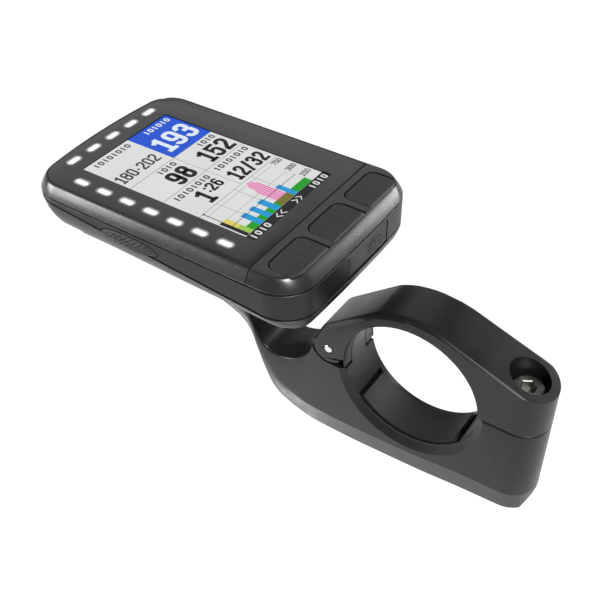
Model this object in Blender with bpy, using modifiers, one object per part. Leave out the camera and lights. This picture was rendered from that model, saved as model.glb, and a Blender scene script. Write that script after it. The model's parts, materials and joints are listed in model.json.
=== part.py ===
"""Handlebar cycling computer on an out-front clamp mount, as separate named parts.

World frame: the origin is the centre of the handlebar bore, +X runs along the handlebar
to the rider's right, +Y points forward (away from the rider) and +Z points up.
All driving dimensions are in millimetres and MM turns them into metres.
"""
import math

import bmesh
import bpy
from mathutils import Matrix, Vector

MM = 0.001
GAP = 0.3                      # clearance kept between touching pieces

# Head unit: plan outline at its widest (the seam under the bezel)
UNIT_HALF_WIDTH = 24.7
UNIT_REAR_Y = 17.3             # rider end
UNIT_FRONT_Y = 93.3            # far end
UNIT_CORNER = 8.5
REAR_BULGE = 0.3
FRONT_BULGE = 0.9
CORNER_STEPS = 6
END_STEPS = 4

# Head unit: levels
TOP_Z = 32.5                   # face of the display glass
SEAM_Z = 29.7                  # lower edge of the bezel
BELLY_Z = 17.0                 # flat underside of the rear case
BAND_SIDE = 1.5                # bezel's sloping band, seen in plan
BAND_REAR = 2.3
PANEL_SPLIT_Y = 29.4           # seam between bezel and button panel
DECK_Z = 31.4                  # ledge that carries the glass
DECK_UNDER_Z = 30.2
WALL = 1.4

# Parting line between the mid frame and the rear case, and the rim where the belly starts
PART_Z = 22.3
PART_SLOPE = 0.085
RIM_Z = 20.9
RIM_SLOPE = 0.035

# Display
LCD_HALF_WIDTH = 14.75
LCD_TOP_Y = 82.8
LCD_BOTTOM_Y = 32.6
LED_TOP_Y = 87.7
LED_TOP_PITCH = 6.6
LED_TOP_COUNT = 5
LED_SIDE_X = -18.8
LED_SIDE_Y = 79.6
LED_SIDE_PITCH = 6.83
LED_SIDE_COUNT = 7
LED_LENGTH = 3.0
LED_WIDTH = 1.1

# Buttons
FRONT_BUTTON_PITCH = 14.4
FRONT_BUTTON_Y = 23.5
FRONT_BUTTON_WIDTH = 12.4
FRONT_BUTTON_DEPTH = 7.8
POWER_BUTTON_Y = 61.2
POWER_BUTTON_Z = 26.9
SIDE_BUTTON_HALF_HEIGHT = 1.6
GASKET_LOW_Z = 29.1
SIDE_BUTTON_YS = {"up_button": 66.5, "down_button": 53.5}

# USB port cover in the rider-end wall
USB_X = 3.4
USB_HALF_WIDTH = 7.9
USB_LOW_Z = 22.6
USB_HIGH_Z = 28.2
USB_AXIS_Y = 17.85
USB_THICKNESS = 1.6

# Quarter-turn fastening under the head unit
TURN_Y = 56.0
SOCKET_RADIUS = 14.0
SOCKET_ROOF_Z = 21.6
NECK_RADIUS = 9.2
TAB_RADIUS = 12.4
TAB_HALF_ANGLE = 30.0

# Handlebar clamp
BAR_RADIUS = 15.9              # 31.8 mm handlebar
BORE_RADIUS = 16.7
LINER_OUTER = 18.2
CLAMP_HALF_WIDTH = 6.45
PIN_Y = 21.0
PIN_Z = 1.2
PIN_RADIUS = 1.0
LUG_RADIUS = 4.3
KNUCKLE_HALF_WIDTH = 3.0
BOLT_Y = -24.3
BOLT_RADIUS = 1.7
BOLT_END_Z = -9.0
SLEEVE_TOP_Z = 0.4             # threaded sleeve in the arm's rear boss
SLEEVE_LOW_Z = -8.6
PARTING_Z = 0.7                # top of the arm's rear boss
STRAP_TOP_Z = 19.4
STRAP_TOP_Y = -5.0
STRAP_TOP_SLOPE = 0.35
STRAP_CROWN_RADIUS = 20.0
STRAP_RAMP_Y = 22.5            # front corner where the strap starts down to its lug
STRAP_RAMP_Z = 7.7


# ---------------------------------------------------------------- scene and materials

def clear_scene():
    for obj in list(bpy.data.objects):
        bpy.data.objects.remove(obj, do_unlink=True)
    for group in list(bpy.data.collections):
        bpy.data.collections.remove(group)


def new_collection(name):
    group = bpy.data.collections.new(name)
    bpy.context.scene.collection.children.link(group)
    return group


clear_scene()
PARTS = new_collection("cycling_computer")
CUTTERS = new_collection("cutters")


def paint(obj, colour, roughness, metallic=0.0):
    """Give the object its own Principled material."""
    mat = bpy.data.materials.new(obj.name)
    mat.use_nodes = True
    shader = mat.node_tree.nodes["Principled BSDF"]
    shader.inputs["Base Color"].default_value = (*colour, 1.0)
    shader.inputs["Roughness"].default_value = roughness
    shader.inputs["Metallic"].default_value = metallic
    obj.data.materials.clear()
    obj.data.materials.append(mat)
    return obj


# ---------------------------------------------------------------- building blocks

def object_from(bm, name, group=None):
    bmesh.ops.recalc_face_normals(bm, faces=bm.faces)
    mesh = bpy.data.meshes.new(name)
    bm.to_mesh(mesh)
    bm.free()
    obj = bpy.data.objects.new(name, mesh)
    (group or PARTS).objects.link(obj)
    return obj


def box(name, low, high, group=None):
    """A block between two corners, in millimetres."""
    bm = bmesh.new()
    bmesh.ops.create_cube(bm, size=1.0)
    size = [(b - a) * MM for a, b in zip(low, high)]
    centre = [(a + b) * 0.5 * MM for a, b in zip(low, high)]
    bmesh.ops.scale(bm, vec=size, verts=bm.verts)
    bmesh.ops.translate(bm, vec=centre, verts=bm.verts)
    return object_from(bm, name, group)


TO_AXIS = {
    "X": Matrix.Rotation(math.pi / 2, 4, "Y"),
    "Y": Matrix.Rotation(-math.pi / 2, 4, "X"),
    "Z": Matrix.Identity(4),
}


def rod(name, axis, centre, radius, low, high, steps=24, group=None, turn=0.0):
    """A cylinder along an axis; centre holds the other two coordinates in order."""
    bm = bmesh.new()
    bmesh.ops.create_cone(bm, cap_ends=True, segments=steps, radius1=radius * MM,
                          radius2=radius * MM, depth=(high - low) * MM)
    bmesh.ops.rotate(bm, cent=(0, 0, 0), verts=bm.verts,
                     matrix=Matrix.Rotation(math.radians(turn), 3, "Z"))
    bmesh.ops.transform(bm, matrix=TO_AXIS[axis], verts=bm.verts)
    place = list(centre)
    place.insert("XYZ".index(axis), (low + high) / 2)
    bmesh.ops.translate(bm, vec=[c * MM for c in place], verts=bm.verts)
    return object_from(bm, name, group)


def loft(name, rings, group=None):
    """A closed solid through rings of equal point count, capped at both ends."""
    bm = bmesh.new()
    rows = [[bm.verts.new(Vector(point) * MM) for point in ring] for ring in rings]
    for lower, upper in zip(rows, rows[1:]):
        for i in range(len(lower)):
            j = (i + 1) % len(lower)
            bm.faces.new((lower[i], lower[j], upper[j], upper[i]))
    bm.faces.new(rows[0])
    bm.faces.new(rows[-1])
    return object_from(bm, name, group)


def prism(name, outline, axis, low, high, group=None):
    """A flat outline extruded along an axis; its points hold the other two coordinates."""
    index = "XYZ".index(axis)
    rings = []
    for level in (low, high):
        ring = []
        for point in outline:
            place = list(point)
            place.insert(index, level)
            ring.append(place)
        rings.append(ring)
    return loft(name, rings, group)


def combine(target, other, operation):
    """Boolean with a helper body, which moves to the cutters."""
    for group in list(other.users_collection):
        group.objects.unlink(other)
    CUTTERS.objects.link(other)
    other.hide_render = True
    other.display_type = "WIRE"
    modifier = target.modifiers.new(other.name, "BOOLEAN")
    modifier.operation = operation
    modifier.object = other
    modifier.solver = "EXACT"
    return target


def cut(target, *others):
    for other in others:
        combine(target, other, "DIFFERENCE")
    return target


def join(target, *others):
    for other in others:
        combine(target, other, "UNION")
    return target


def keep(target, other):
    return combine(target, other, "INTERSECT")


def soften(target, width, segments=2, angle=40.0):
    modifier = target.modifiers.new("soft_edges", "BEVEL")
    modifier.width = width * MM
    modifier.segments = segments
    modifier.limit_method = "ANGLE"
    modifier.angle_limit = math.radians(angle)
    return target


def smooth(target, angle=35.0):
    target.data.shade_smooth()
    target.data.set_sharp_from_angle(angle=math.radians(angle))
    return target


# ---------------------------------------------------------------- outlines

def arc(cx, cy, radius, start, end, steps):
    """Points of an arc, angles in degrees, both ends included."""
    points = []
    for i in range(steps + 1):
        angle = math.radians(start + (end - start) * i / steps)
        points.append((cx + radius * math.cos(angle), cy + radius * math.sin(angle)))
    return points


def unit_outline(side=0.0, rear=None, front=None):
    """The head unit's plan outline, drawn in by the given insets, counter-clockwise."""
    rear = side if rear is None else rear
    front = side if front is None else front
    half = UNIT_HALF_WIDTH - side
    low = UNIT_REAR_Y + rear
    high = UNIT_FRONT_Y - FRONT_BULGE - front
    low_corner = max(UNIT_CORNER - max(side, rear), 1.0)
    high_corner = max(UNIT_CORNER - max(side, front), 1.0)
    points = arc(half - low_corner, low + low_corner, low_corner, -90, 0, CORNER_STEPS)
    points += arc(half - high_corner, high - high_corner, high_corner, 0, 90, CORNER_STEPS)
    points += end_bulge(half - high_corner, high, FRONT_BULGE)
    points += arc(high_corner - half, high - high_corner, high_corner, 90, 180, CORNER_STEPS)
    points += arc(low_corner - half, low + low_corner, low_corner, 180, 270, CORNER_STEPS)
    points += end_bulge(low_corner - half, low, -REAR_BULGE)
    return points


def end_bulge(x_start, y, bulge):
    """Points between the corners of a slightly crowned end."""
    points = []
    for i in range(1, END_STEPS):
        t = i / END_STEPS
        points.append((x_start * (1 - 2 * t), y + bulge * 4 * t * (1 - t)))
    return points


def level(outline, z):
    return [(x, y, z) for x, y in outline]


def sloped(outline, z, slope):
    return [(x, y, z + slope * (y - UNIT_REAR_Y)) for x, y in outline]


def rounded_rect(cx, cy, width, height, radius, steps=4):
    """A rectangle with round corners, counter-clockwise."""
    x = width / 2 - radius
    y = height / 2 - radius
    points = []
    for sx, sy, start in ((1, -1, -90), (1, 1, 0), (-1, 1, 90), (-1, -1, 180)):
        points += arc(cx + sx * x, cy + sy * y, radius, start, start + 90, steps)
    return points


def ellipse(cx, cy, rx, ry, steps=20):
    return [(cx + rx * math.cos(2 * math.pi * i / steps),
             cy + ry * math.sin(2 * math.pi * i / steps)) for i in range(steps)]


def sector(cx, cy, inner, outer, start, end, steps):
    """A ring sector, angles in degrees."""
    return arc(cx, cy, outer, start, end, steps) + arc(cx, cy, inner, end, start, steps)


# ---------------------------------------------------------------- head unit: casing

def bezel_blank(name):
    """The whole top moulding before it is split: sloping band, glass recess, hollow under."""
    blank = loft(name, [level(unit_outline(), SEAM_Z),
                        level(unit_outline(BAND_SIDE, BAND_REAR), TOP_Z)])
    cut(blank, prism(name + "_hollow", unit_outline(2.4, 3.2), "Z", SEAM_Z - 1, DECK_UNDER_Z))
    return blank


def led_places():
    """Centre and long direction of every indicator: five across the top, seven down the left."""
    middle = (LED_TOP_COUNT - 1) / 2
    top = [((i - middle) * LED_TOP_PITCH, LED_TOP_Y) for i in range(LED_TOP_COUNT)]
    side = [(LED_SIDE_X, LED_SIDE_Y - i * LED_SIDE_PITCH) for i in range(LED_SIDE_COUNT)]
    return top, side


def build_front_cover():
    cover = bezel_blank("front_cover")
    cut(cover, box("cover_split", (-40, 0, 20), (40, PANEL_SPLIT_Y + GAP / 2, 40), CUTTERS))
    cut(cover, prism("glass_recess", glass_outline(0.0), "Z", DECK_Z, TOP_Z + 1))
    window_y = (LCD_TOP_Y + LCD_BOTTOM_Y) / 2
    window = rounded_rect(0, window_y, 2 * LCD_HALF_WIDTH + 2.2, LCD_TOP_Y - LCD_BOTTOM_Y + 1.6, 1.0)
    cut(cover, prism("lcd_window", window, "Z", 28, TOP_Z + 1))
    top, side = led_places()
    for i, (x, y) in enumerate(top):
        slot = rounded_rect(x, y, LED_LENGTH + GAP, LED_WIDTH + GAP, 0.6, 3)
        cut(cover, prism(f"led_slot_top_{i}", slot, "Z", 28, 33))
    for i, (x, y) in enumerate(side):
        slot = rounded_rect(x, y, LED_WIDTH + GAP, LED_LENGTH + GAP, 0.6, 3)
        cut(cover, prism(f"led_slot_side_{i}", slot, "Z", 28, 33))
    return paint(smooth(cover), (0.10, 0.10, 0.10), 0.35)


def glass_outline(inset):
    """The display glass fills the flat top in front of the button panel."""
    side = BAND_SIDE + 0.25 + inset
    outline = unit_outline(side)
    limit = PANEL_SPLIT_Y + 0.7 + inset
    forward = [(x, y) for x, y in outline if y > limit]
    half = UNIT_HALF_WIDTH - side
    return [(half, limit)] + forward + [(-half, limit)]


def build_display_window():
    glass = prism("display_window", glass_outline(0.15), "Z", DECK_Z + 0.15, TOP_Z)
    return paint(smooth(glass), (0.03, 0.03, 0.03), 0.05)


def build_button_panel():
    panel = bezel_blank("button_panel")
    cut(panel, box("panel_split", (-40, PANEL_SPLIT_Y - GAP / 2, 20), (40, 120, 40), CUTTERS))
    for i in (-1, 0, 1):
        hole = button_outline(i, GAP)
        cut(panel, prism(f"panel_hole_{i + 1}", hole, "Z", 28, 34))
        seat = button_outline(i, 0.95)
        cut(panel, prism(f"panel_seat_{i + 1}", seat, "Z", 28, 31.2))
    return paint(smooth(panel), (0.09, 0.09, 0.09), 0.4)


def button_outline(place, grow):
    """Outline of one of the three keys under the display, place -1, 0 or 1."""
    return rounded_rect(place * FRONT_BUTTON_PITCH, FRONT_BUTTON_Y,
                        FRONT_BUTTON_WIDTH + 2 * grow, FRONT_BUTTON_DEPTH + 2 * grow, 2.0 + grow)


def build_front_button(name, place):
    """A domed key with a hidden flange that keeps it in the panel."""
    button = loft(name, [
        level(button_outline(place, 0.65), 30.3),
        level(button_outline(place, 0.65), 30.9),
        level(button_outline(place, 0.0), 30.95),
        level(button_outline(place, 0.0), 32.45),
        level(button_outline(place, -0.5), 32.8),
        level(button_outline(place, -1.6), 33.0),
    ])
    return paint(smooth(button, 50), (0.05, 0.05, 0.05), 0.7)


def build_mid_frame():
    """The side wall between the bezel seam and the sloping parting line."""
    frame = loft("mid_frame", [sloped(unit_outline(), PART_Z + GAP / 2, PART_SLOPE),
                               level(unit_outline(), SEAM_Z - GAP)])
    cut(frame, prism("frame_inside", unit_outline(WALL), "Z", 15, 35))
    groove = prism("frame_groove", unit_outline(0.4), "Z", GASKET_LOW_Z - 0.1, 35)
    cut(groove, prism("frame_groove_core", unit_outline(1.12), "Z", 25, 40))
    cut(frame, groove)
    for i, (x, y) in enumerate(SCREW_PLACES):
        join(frame, prism(f"frame_boss_{i}", boss_outline(x, y), "Z", boss_foot(y), 28.6))
        cut(frame, rod(f"frame_thread_{i}", "Z", (x, y), 1.1, 15, 26.2, 16))
    cut_side_openings(frame, "frame")
    return paint(smooth(frame), (0.045, 0.045, 0.045), 0.55)


SCREW_PLACES = [(-19.6, 33.0), (19.6, 33.0), (-19.6, 84.0), (19.6, 84.0)]


def boss_foot(y):
    return PART_Z + PART_SLOPE * (y - UNIT_REAR_Y) + 0.6


def boss_outline(x, y):
    """A round boss tied to the side wall by a web."""
    side = math.copysign(1.0, x)
    wall = side * (UNIT_HALF_WIDTH - WALL / 2)
    round_end = arc(x, y, 2.1, 90 if side > 0 else -90, 270 if side > 0 else 90, 8)
    web = [(wall, y - 2.1), (wall, y + 2.1)]
    return round_end + (web if side > 0 else web[::-1])


def cut_side_openings(target, label):
    """Openings for the three side keys and the port cover, shared by both casing rings."""
    power = ellipse(POWER_BUTTON_Y, POWER_BUTTON_Z, 8.2 + GAP, SIDE_BUTTON_HALF_HEIGHT + GAP)
    cut(target, prism(label + "_power", power, "X", -30, -20))
    for name, y in SIDE_BUTTON_YS.items():
        hole = ellipse(y, POWER_BUTTON_Z, 4.6 + GAP, SIDE_BUTTON_HALF_HEIGHT + GAP)
        cut(target, prism(label + "_" + name, hole, "X", 20, 30))
    cut(target, box(label + "_usb", (USB_X - USB_HALF_WIDTH - GAP, 14, USB_LOW_Z - GAP),
                    (USB_X + USB_HALF_WIDTH + GAP, 20.5, USB_HIGH_Z + GAP), CUTTERS))


def build_rear_case():
    """The bottom tub: low wall, sloping belly, flat underside and the round socket."""
    case = loft("rear_case", [
        level(unit_outline(6.0), BELLY_Z),
        level(unit_outline(5.0), BELLY_Z + 0.3),
        sloped(unit_outline(1.6), RIM_Z - 1.3, RIM_SLOPE),
        sloped(unit_outline(0.4), RIM_Z, RIM_SLOPE),
        sloped(unit_outline(), RIM_Z + 0.7, RIM_SLOPE + 0.01),
        sloped(unit_outline(), PART_Z - GAP / 2, PART_SLOPE),
    ])
    cut(case, loft("case_inside", [
        level(unit_outline(7.4), BELLY_Z + 1.5),
        sloped(unit_outline(3.0), RIM_Z - 0.4, RIM_SLOPE),
        sloped(unit_outline(WALL + 0.2), RIM_Z + 0.7, RIM_SLOPE),
        level(unit_outline(WALL), 33),
    ]))
    join(case, rod("socket_tower", "Z", (0, TURN_Y), SOCKET_RADIUS + 1.4,
                   BELLY_Z + 0.6, SOCKET_ROOF_Z + 1.2, 40))
    cut(case, rod("socket_hollow", "Z", (0, TURN_Y), SOCKET_RADIUS, 10, SOCKET_ROOF_Z, 40))
    for i, (x, y) in enumerate(SCREW_PLACES):
        join(case, rod(f"case_post_{i}", "Z", (x, y), 2.6, BELLY_Z + 2.0, boss_foot(y) - 0.9, 16))
        cut(case, rod(f"case_hole_{i}", "Z", (x, y), 1.1, 10, 30, 16))
        cut(case, rod(f"case_head_{i}", "Z", (x, y), 1.8, 10, BELLY_Z + 3.2, 16))
    cut_side_openings(case, "case")
    return paint(smooth(case), (0.05, 0.05, 0.05), 0.55)


def build_case_gasket():
    """A thin rubber cord that seals the bezel to the mid frame, laid in the frame's groove."""
    ring = prism("case_gasket", unit_outline(0.55), "Z", GASKET_LOW_Z, GASKET_LOW_Z + 0.45)
    cut(ring, prism("gasket_inside", unit_outline(1.0), "Z", 25, 35))
    return paint(ring, (0.02, 0.02, 0.02), 0.9)


# ---------------------------------------------------------------- head unit: display stack

def build_lcd_panel():
    low = (-LCD_HALF_WIDTH - 0.7, LCD_BOTTOM_Y - 0.4, 29.6)
    high = (LCD_HALF_WIDTH + 0.7, LCD_TOP_Y + 0.4, 31.2)
    return paint(box("lcd_panel", low, high), (0.75, 0.76, 0.74), 0.3)


def build_lcd_frame():
    """A foam-backed frame that holds the panel against the deck, open in its middle."""
    y = (LCD_TOP_Y + LCD_BOTTOM_Y) / 2
    outer = rounded_rect(0, y, 2 * LCD_HALF_WIDTH + 4.4, LCD_TOP_Y - LCD_BOTTOM_Y + 3.0, 1.5)
    inner = rounded_rect(0, y, 2 * LCD_HALF_WIDTH - 4.0, LCD_TOP_Y - LCD_BOTTOM_Y - 5.0, 1.0)
    frame = prism("lcd_frame", outer, "Z", 28.3, 29.3)
    cut(frame, prism("lcd_frame_inside", inner, "Z", 26, 31))
    return paint(frame, (0.03, 0.03, 0.03), 0.8)


def build_light_guide(name, places, along_x):
    """A clear strip under the deck with one raised pip for each indicator."""
    xs = [x for x, y in places]
    ys = [y for x, y in places]
    margin = 2.0
    if along_x:
        guide = box(name, (min(xs) - margin, ys[0] - 0.9, 29.4), (max(xs) + margin, ys[0] + 0.9, 30.0))
    else:
        guide = box(name, (xs[0] - 0.9, min(ys) - margin, 29.4), (xs[0] + 0.9, max(ys) + margin, 30.0))
    size = (LED_LENGTH, LED_WIDTH) if along_x else (LED_WIDTH, LED_LENGTH)
    for i, (x, y) in enumerate(places):
        pip = rounded_rect(x, y, size[0], size[1], 0.5, 3)
        join(guide, prism(f"{name}_pip_{i}", pip, "Z", 29.7, 31.35))
    return paint(guide, (0.9, 0.92, 0.95), 0.2)


# ---------------------------------------------------------------- head unit: keys

def side_key(name, side, y0, half_length, dome):
    """An oval key through a side wall: flange, shaft and a crowned face drawn in by dome."""
    half = SIDE_BUTTON_HALF_HEIGHT
    levels = [(22.2, 0.5, 0.45), (22.9, 0.5, 0.45), (22.95, 0.0, 0.0),
              (24.8, 0.0, 0.0), (25.4, -dome, -0.6)]
    return loft(name, [[(side * x, y, z) for y, z in
                        ellipse(y0, POWER_BUTTON_Z, half_length + grow_y, half + grow_z)]
                       for x, grow_y, grow_z in levels])


def build_power_button():
    """A long lens-shaped key in the left wall, with a flange inside the wall."""
    button = side_key("power_button", -1, POWER_BUTTON_Y, 8.2, 2.0)
    return paint(smooth(button, 50), (0.04, 0.04, 0.04), 0.75)


def build_side_button(name):
    """A short key in the right wall."""
    button = side_key(name, 1, SIDE_BUTTON_YS[name], 4.6, 1.3)
    return paint(smooth(button, 50), (0.04, 0.04, 0.04), 0.75)


def build_keypad_membrane():
    """A silicone sheet under the three keys, with a dome below each."""
    sheet = prism("keypad_membrane", rounded_rect(0, FRONT_BUTTON_Y + 0.4, 39.6, 8.2, 1.5),
                  "Z", 28.2, 28.9)
    for i in (-1, 0, 1):
        dome = loft(f"membrane_dome_{i + 1}", [
            level(ellipse(i * FRONT_BUTTON_PITCH, FRONT_BUTTON_Y, 2.6, 2.6, 16), 28.7),
            level(ellipse(i * FRONT_BUTTON_PITCH, FRONT_BUTTON_Y, 1.6, 1.6, 16), 29.35),
        ])
        join(sheet, dome)
    return paint(sheet, (0.25, 0.26, 0.28), 0.6)


# ---------------------------------------------------------------- head unit: electronics

def build_main_board():
    outline = rounded_rect(0, 55.5, 31.5, 71.0, 2.0)
    board = prism("main_board", outline, "Z", 26.7, 27.9)
    return paint(board, (0.02, 0.12, 0.05), 0.5)


def build_switch(name, low, high, nub_low, nub_high):
    """A small side-acting switch: a body with its plunger."""
    switch = box(name, low, high)
    join(switch, box(name + "_plunger", nub_low, nub_high, CUTTERS))
    return paint(switch, (0.5, 0.5, 0.5), 0.4, 0.6)


def build_switches():
    y = POWER_BUTTON_Y
    z = POWER_BUTTON_Z
    build_switch("power_switch", (-20.4, y - 2.2, z - 1.2), (-16.2, y + 2.2, z + 1.2),
                 (-21.4, y - 0.8, z - 0.6), (-20.2, y + 0.8, z + 0.6))
    for name, y in SIDE_BUTTON_YS.items():
        build_switch(name.replace("button", "switch"),
                     (16.2, y - 2.2, z - 1.2), (20.4, y + 2.2, z + 1.2),
                     (20.2, y - 0.8, z - 0.6), (21.4, y + 0.8, z + 0.6))


def build_electronics():
    shield = box("shield_can", (-13.5, 60.0, 24.4), (6.5, 80.0, 26.4))
    paint(soften(shield, 0.4), (0.7, 0.7, 0.7), 0.3, 1.0)
    antenna = box("gps_antenna", (4.0, 85.2, 28.2), (10.0, 90.4, 29.1))
    paint(antenna, (0.75, 0.7, 0.6), 0.6)
    battery = box("battery", (-15.5, 27.4, 19.2), (15.5, 39.8, 24.6))
    paint(soften(battery, 0.8), (0.55, 0.57, 0.6), 0.35, 0.3)
    buzzer = rod("buzzer", "Z", (-10.5, 84.2), 3.6, 23.4, 26.4, 20)
    paint(smooth(buzzer), (0.03, 0.03, 0.03), 0.5)


def build_usb_port():
    """A metal shell with a rounded mouth and the contact tongue inside it."""
    y0 = 19.6
    shell_outline = rounded_rect(USB_X, 24.9, 9.0, 3.2, 1.5)
    mouth = rounded_rect(USB_X, 24.9, 8.3, 2.5, 1.2)
    port = prism("usb_port", shell_outline, "Y", y0, y0 + 7.3)
    cut(port, prism("usb_mouth", mouth, "Y", y0 - 1, y0 + 6.2))
    join(port, box("usb_tongue", (USB_X - 3.3, y0 + 0.8, 24.6), (USB_X + 3.3, y0 + 6.6, 25.2), CUTTERS))
    return paint(smooth(port), (0.6, 0.6, 0.62), 0.3, 1.0)


def build_usb_cover():
    """A rubber door whose rounded lower edge turns in the wall; its origin is on that axis."""
    half = USB_THICKNESS / 2
    axis_z = USB_LOW_Z + half
    profile = arc(0.0, 0.0, half, 180, 360, 8)
    top = USB_HIGH_Z - axis_z
    profile += [(half, top - 0.4), (half - 0.4, top), (0.3 - half, top), (-half, top - 0.3)]
    cover = prism("usb_cover", [(y, z) for y, z in profile], "X", -USB_HALF_WIDTH, USB_HALF_WIDTH)
    cover.location = Vector((USB_X, USB_AXIS_Y, axis_z)) * MM
    ribs = []
    for i in range(4):
        z = 1.2 + i * 0.8
        ribs.append(box(f"cover_rib_{i}", (1.0, -half - 0.25, z), (6.2, -half + 0.2, z + 0.35), CUTTERS))
    for rib in ribs:
        rib.location = cover.location
        join(cover, rib)
    return paint(smooth(cover), (0.04, 0.04, 0.04), 0.8)


def build_case_screws():
    for i, (x, y) in enumerate(SCREW_PLACES):
        build_screw(f"case_screw_{i + 1}", x, y, BELLY_Z + 1.7, 1.5, 1.2, 0.8, 25.6, 1)


def build_screw(name, x, y, start, head_radius, head_height, shank_radius, end, direction):
    """A small screw along Z with a cross recess; direction is +1 when it points up."""
    top = start + direction * head_height
    screw = rod(name, "Z", (x, y), head_radius, min(start, top), max(start, top), 16)
    low = min(top - direction * 0.2, end)
    high = max(top - direction * 0.2, end)
    join(screw, rod(name + "_shank", "Z", (x, y), shank_radius, low, high, 12))
    depth = start + direction * head_height * 0.5
    for j, (dx, dy) in enumerate(((0.8, 0.22), (0.22, 0.8))):
        bar = box(f"{name}_recess_{j}", (x - dx, y - dy, min(start - direction, depth)),
                  (x + dx, y + dy, max(start - direction, depth)), CUTTERS)
        cut(screw, bar)
    return paint(smooth(screw), (0.35, 0.35, 0.36), 0.35, 1.0)


# ---------------------------------------------------------------- quarter-turn fastening

def build_turn_socket():
    """A ring screwed into the head unit's socket; two gaps let the tabs through."""
    ring = rod("turn_socket", "Z", (0, TURN_Y), SOCKET_RADIUS - GAP, 17.2, 18.8, 40)
    cut(ring, rod("turn_socket_bore", "Z", (0, TURN_Y), NECK_RADIUS + 0.4, 10, 25, 40))
    for i, middle in enumerate((90, 270)):
        gap = sector(0, TURN_Y, 5.0, TAB_RADIUS + 0.5, middle - 36, middle + 36, 10)
        cut(ring, prism(f"turn_socket_gap_{i}", gap, "Z", 10, 25))
    return paint(smooth(ring), (0.05, 0.05, 0.05), 0.5)


def build_mount_insert():
    """The fixed half: a disc on the arm, a neck and two tabs that hook over the ring."""
    insert = rod("mount_insert", "Z", (0, TURN_Y), 13.2, 15.0, 16.7, 40)
    join(insert, rod("insert_neck", "Z", (0, TURN_Y), NECK_RADIUS, 16.0, 20.6, 40))
    for i, middle in enumerate((0, 180)):
        tab = sector(0, TURN_Y, 4.0, TAB_RADIUS, middle - TAB_HALF_ANGLE, middle + TAB_HALF_ANGLE, 8)
        join(insert, prism(f"insert_tab_{i}", tab, "Z", 19.2, 20.6))
    for i, y in enumerate(INSERT_SCREW_YS):
        cut(insert, rod(f"insert_thread_{i}", "Z", (0, y), 1.4, 10, 18.9, 16))
    return paint(smooth(insert), (0.04, 0.04, 0.04), 0.5)


INSERT_SCREW_YS = (TURN_Y - 5.0, TURN_Y + 5.0)


def build_insert_screws():
    for i, y in enumerate(INSERT_SCREW_YS):
        build_screw(f"insert_screw_{i + 1}", 0, y, 12.35, 1.9, 1.2, 1.1, 18.5, 1)


# ---------------------------------------------------------------- mount arm

def section(inner, outer, half, chamfer, nose):
    """One cross-section of the arm, between its inner and outer outline points (y, z).

    chamfer is how far the outer corners are drawn in sideways and back along the section,
    and nose is 0 for a flat chamfer and 1 for a round one.
    """
    corners = [
        ((half, 0.7), (half - 0.7, 0.0), 1.0, 2),
        ((0.7 - half, 0.0), (-half, 0.7), 1.0, 2),
        ((-half, None), (chamfer[0] - half, None), nose, 5),
        ((half - chamfer[0], None), (half, None), nose, 5),
    ]
    start = Vector((0.0, *inner))
    along = Vector((0.0, *outer)) - start
    length = along.length
    along.normalize()
    ring = []
    for index, (a, b, crown, steps) in enumerate(corners):
        if index == 2:
            a, b = (a[0], length - chamfer[1]), (b[0], length)
        if index == 3:
            a, b = (a[0], length), (b[0], length - chamfer[1])
        centre_first = index in (0, 2)
        for i in range(steps + 1):
            t = i / steps
            s, c = math.sin(t * math.pi / 2), math.cos(t * math.pi / 2)
            weight_x = 1 - c if centre_first else s
            weight_v = s if centre_first else 1 - c
            round_x = a[0] + (b[0] - a[0]) * weight_x
            round_v = a[1] + (b[1] - a[1]) * weight_v
            flat_x = a[0] + (b[0] - a[0]) * t
            flat_v = a[1] + (b[1] - a[1]) * t
            x = flat_x + (round_x - flat_x) * crown
            v = flat_v + (round_v - flat_v) * crown
            ring.append(tuple(start + along * v + Vector((x, 0.0, 0.0))))
    return ring


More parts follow.
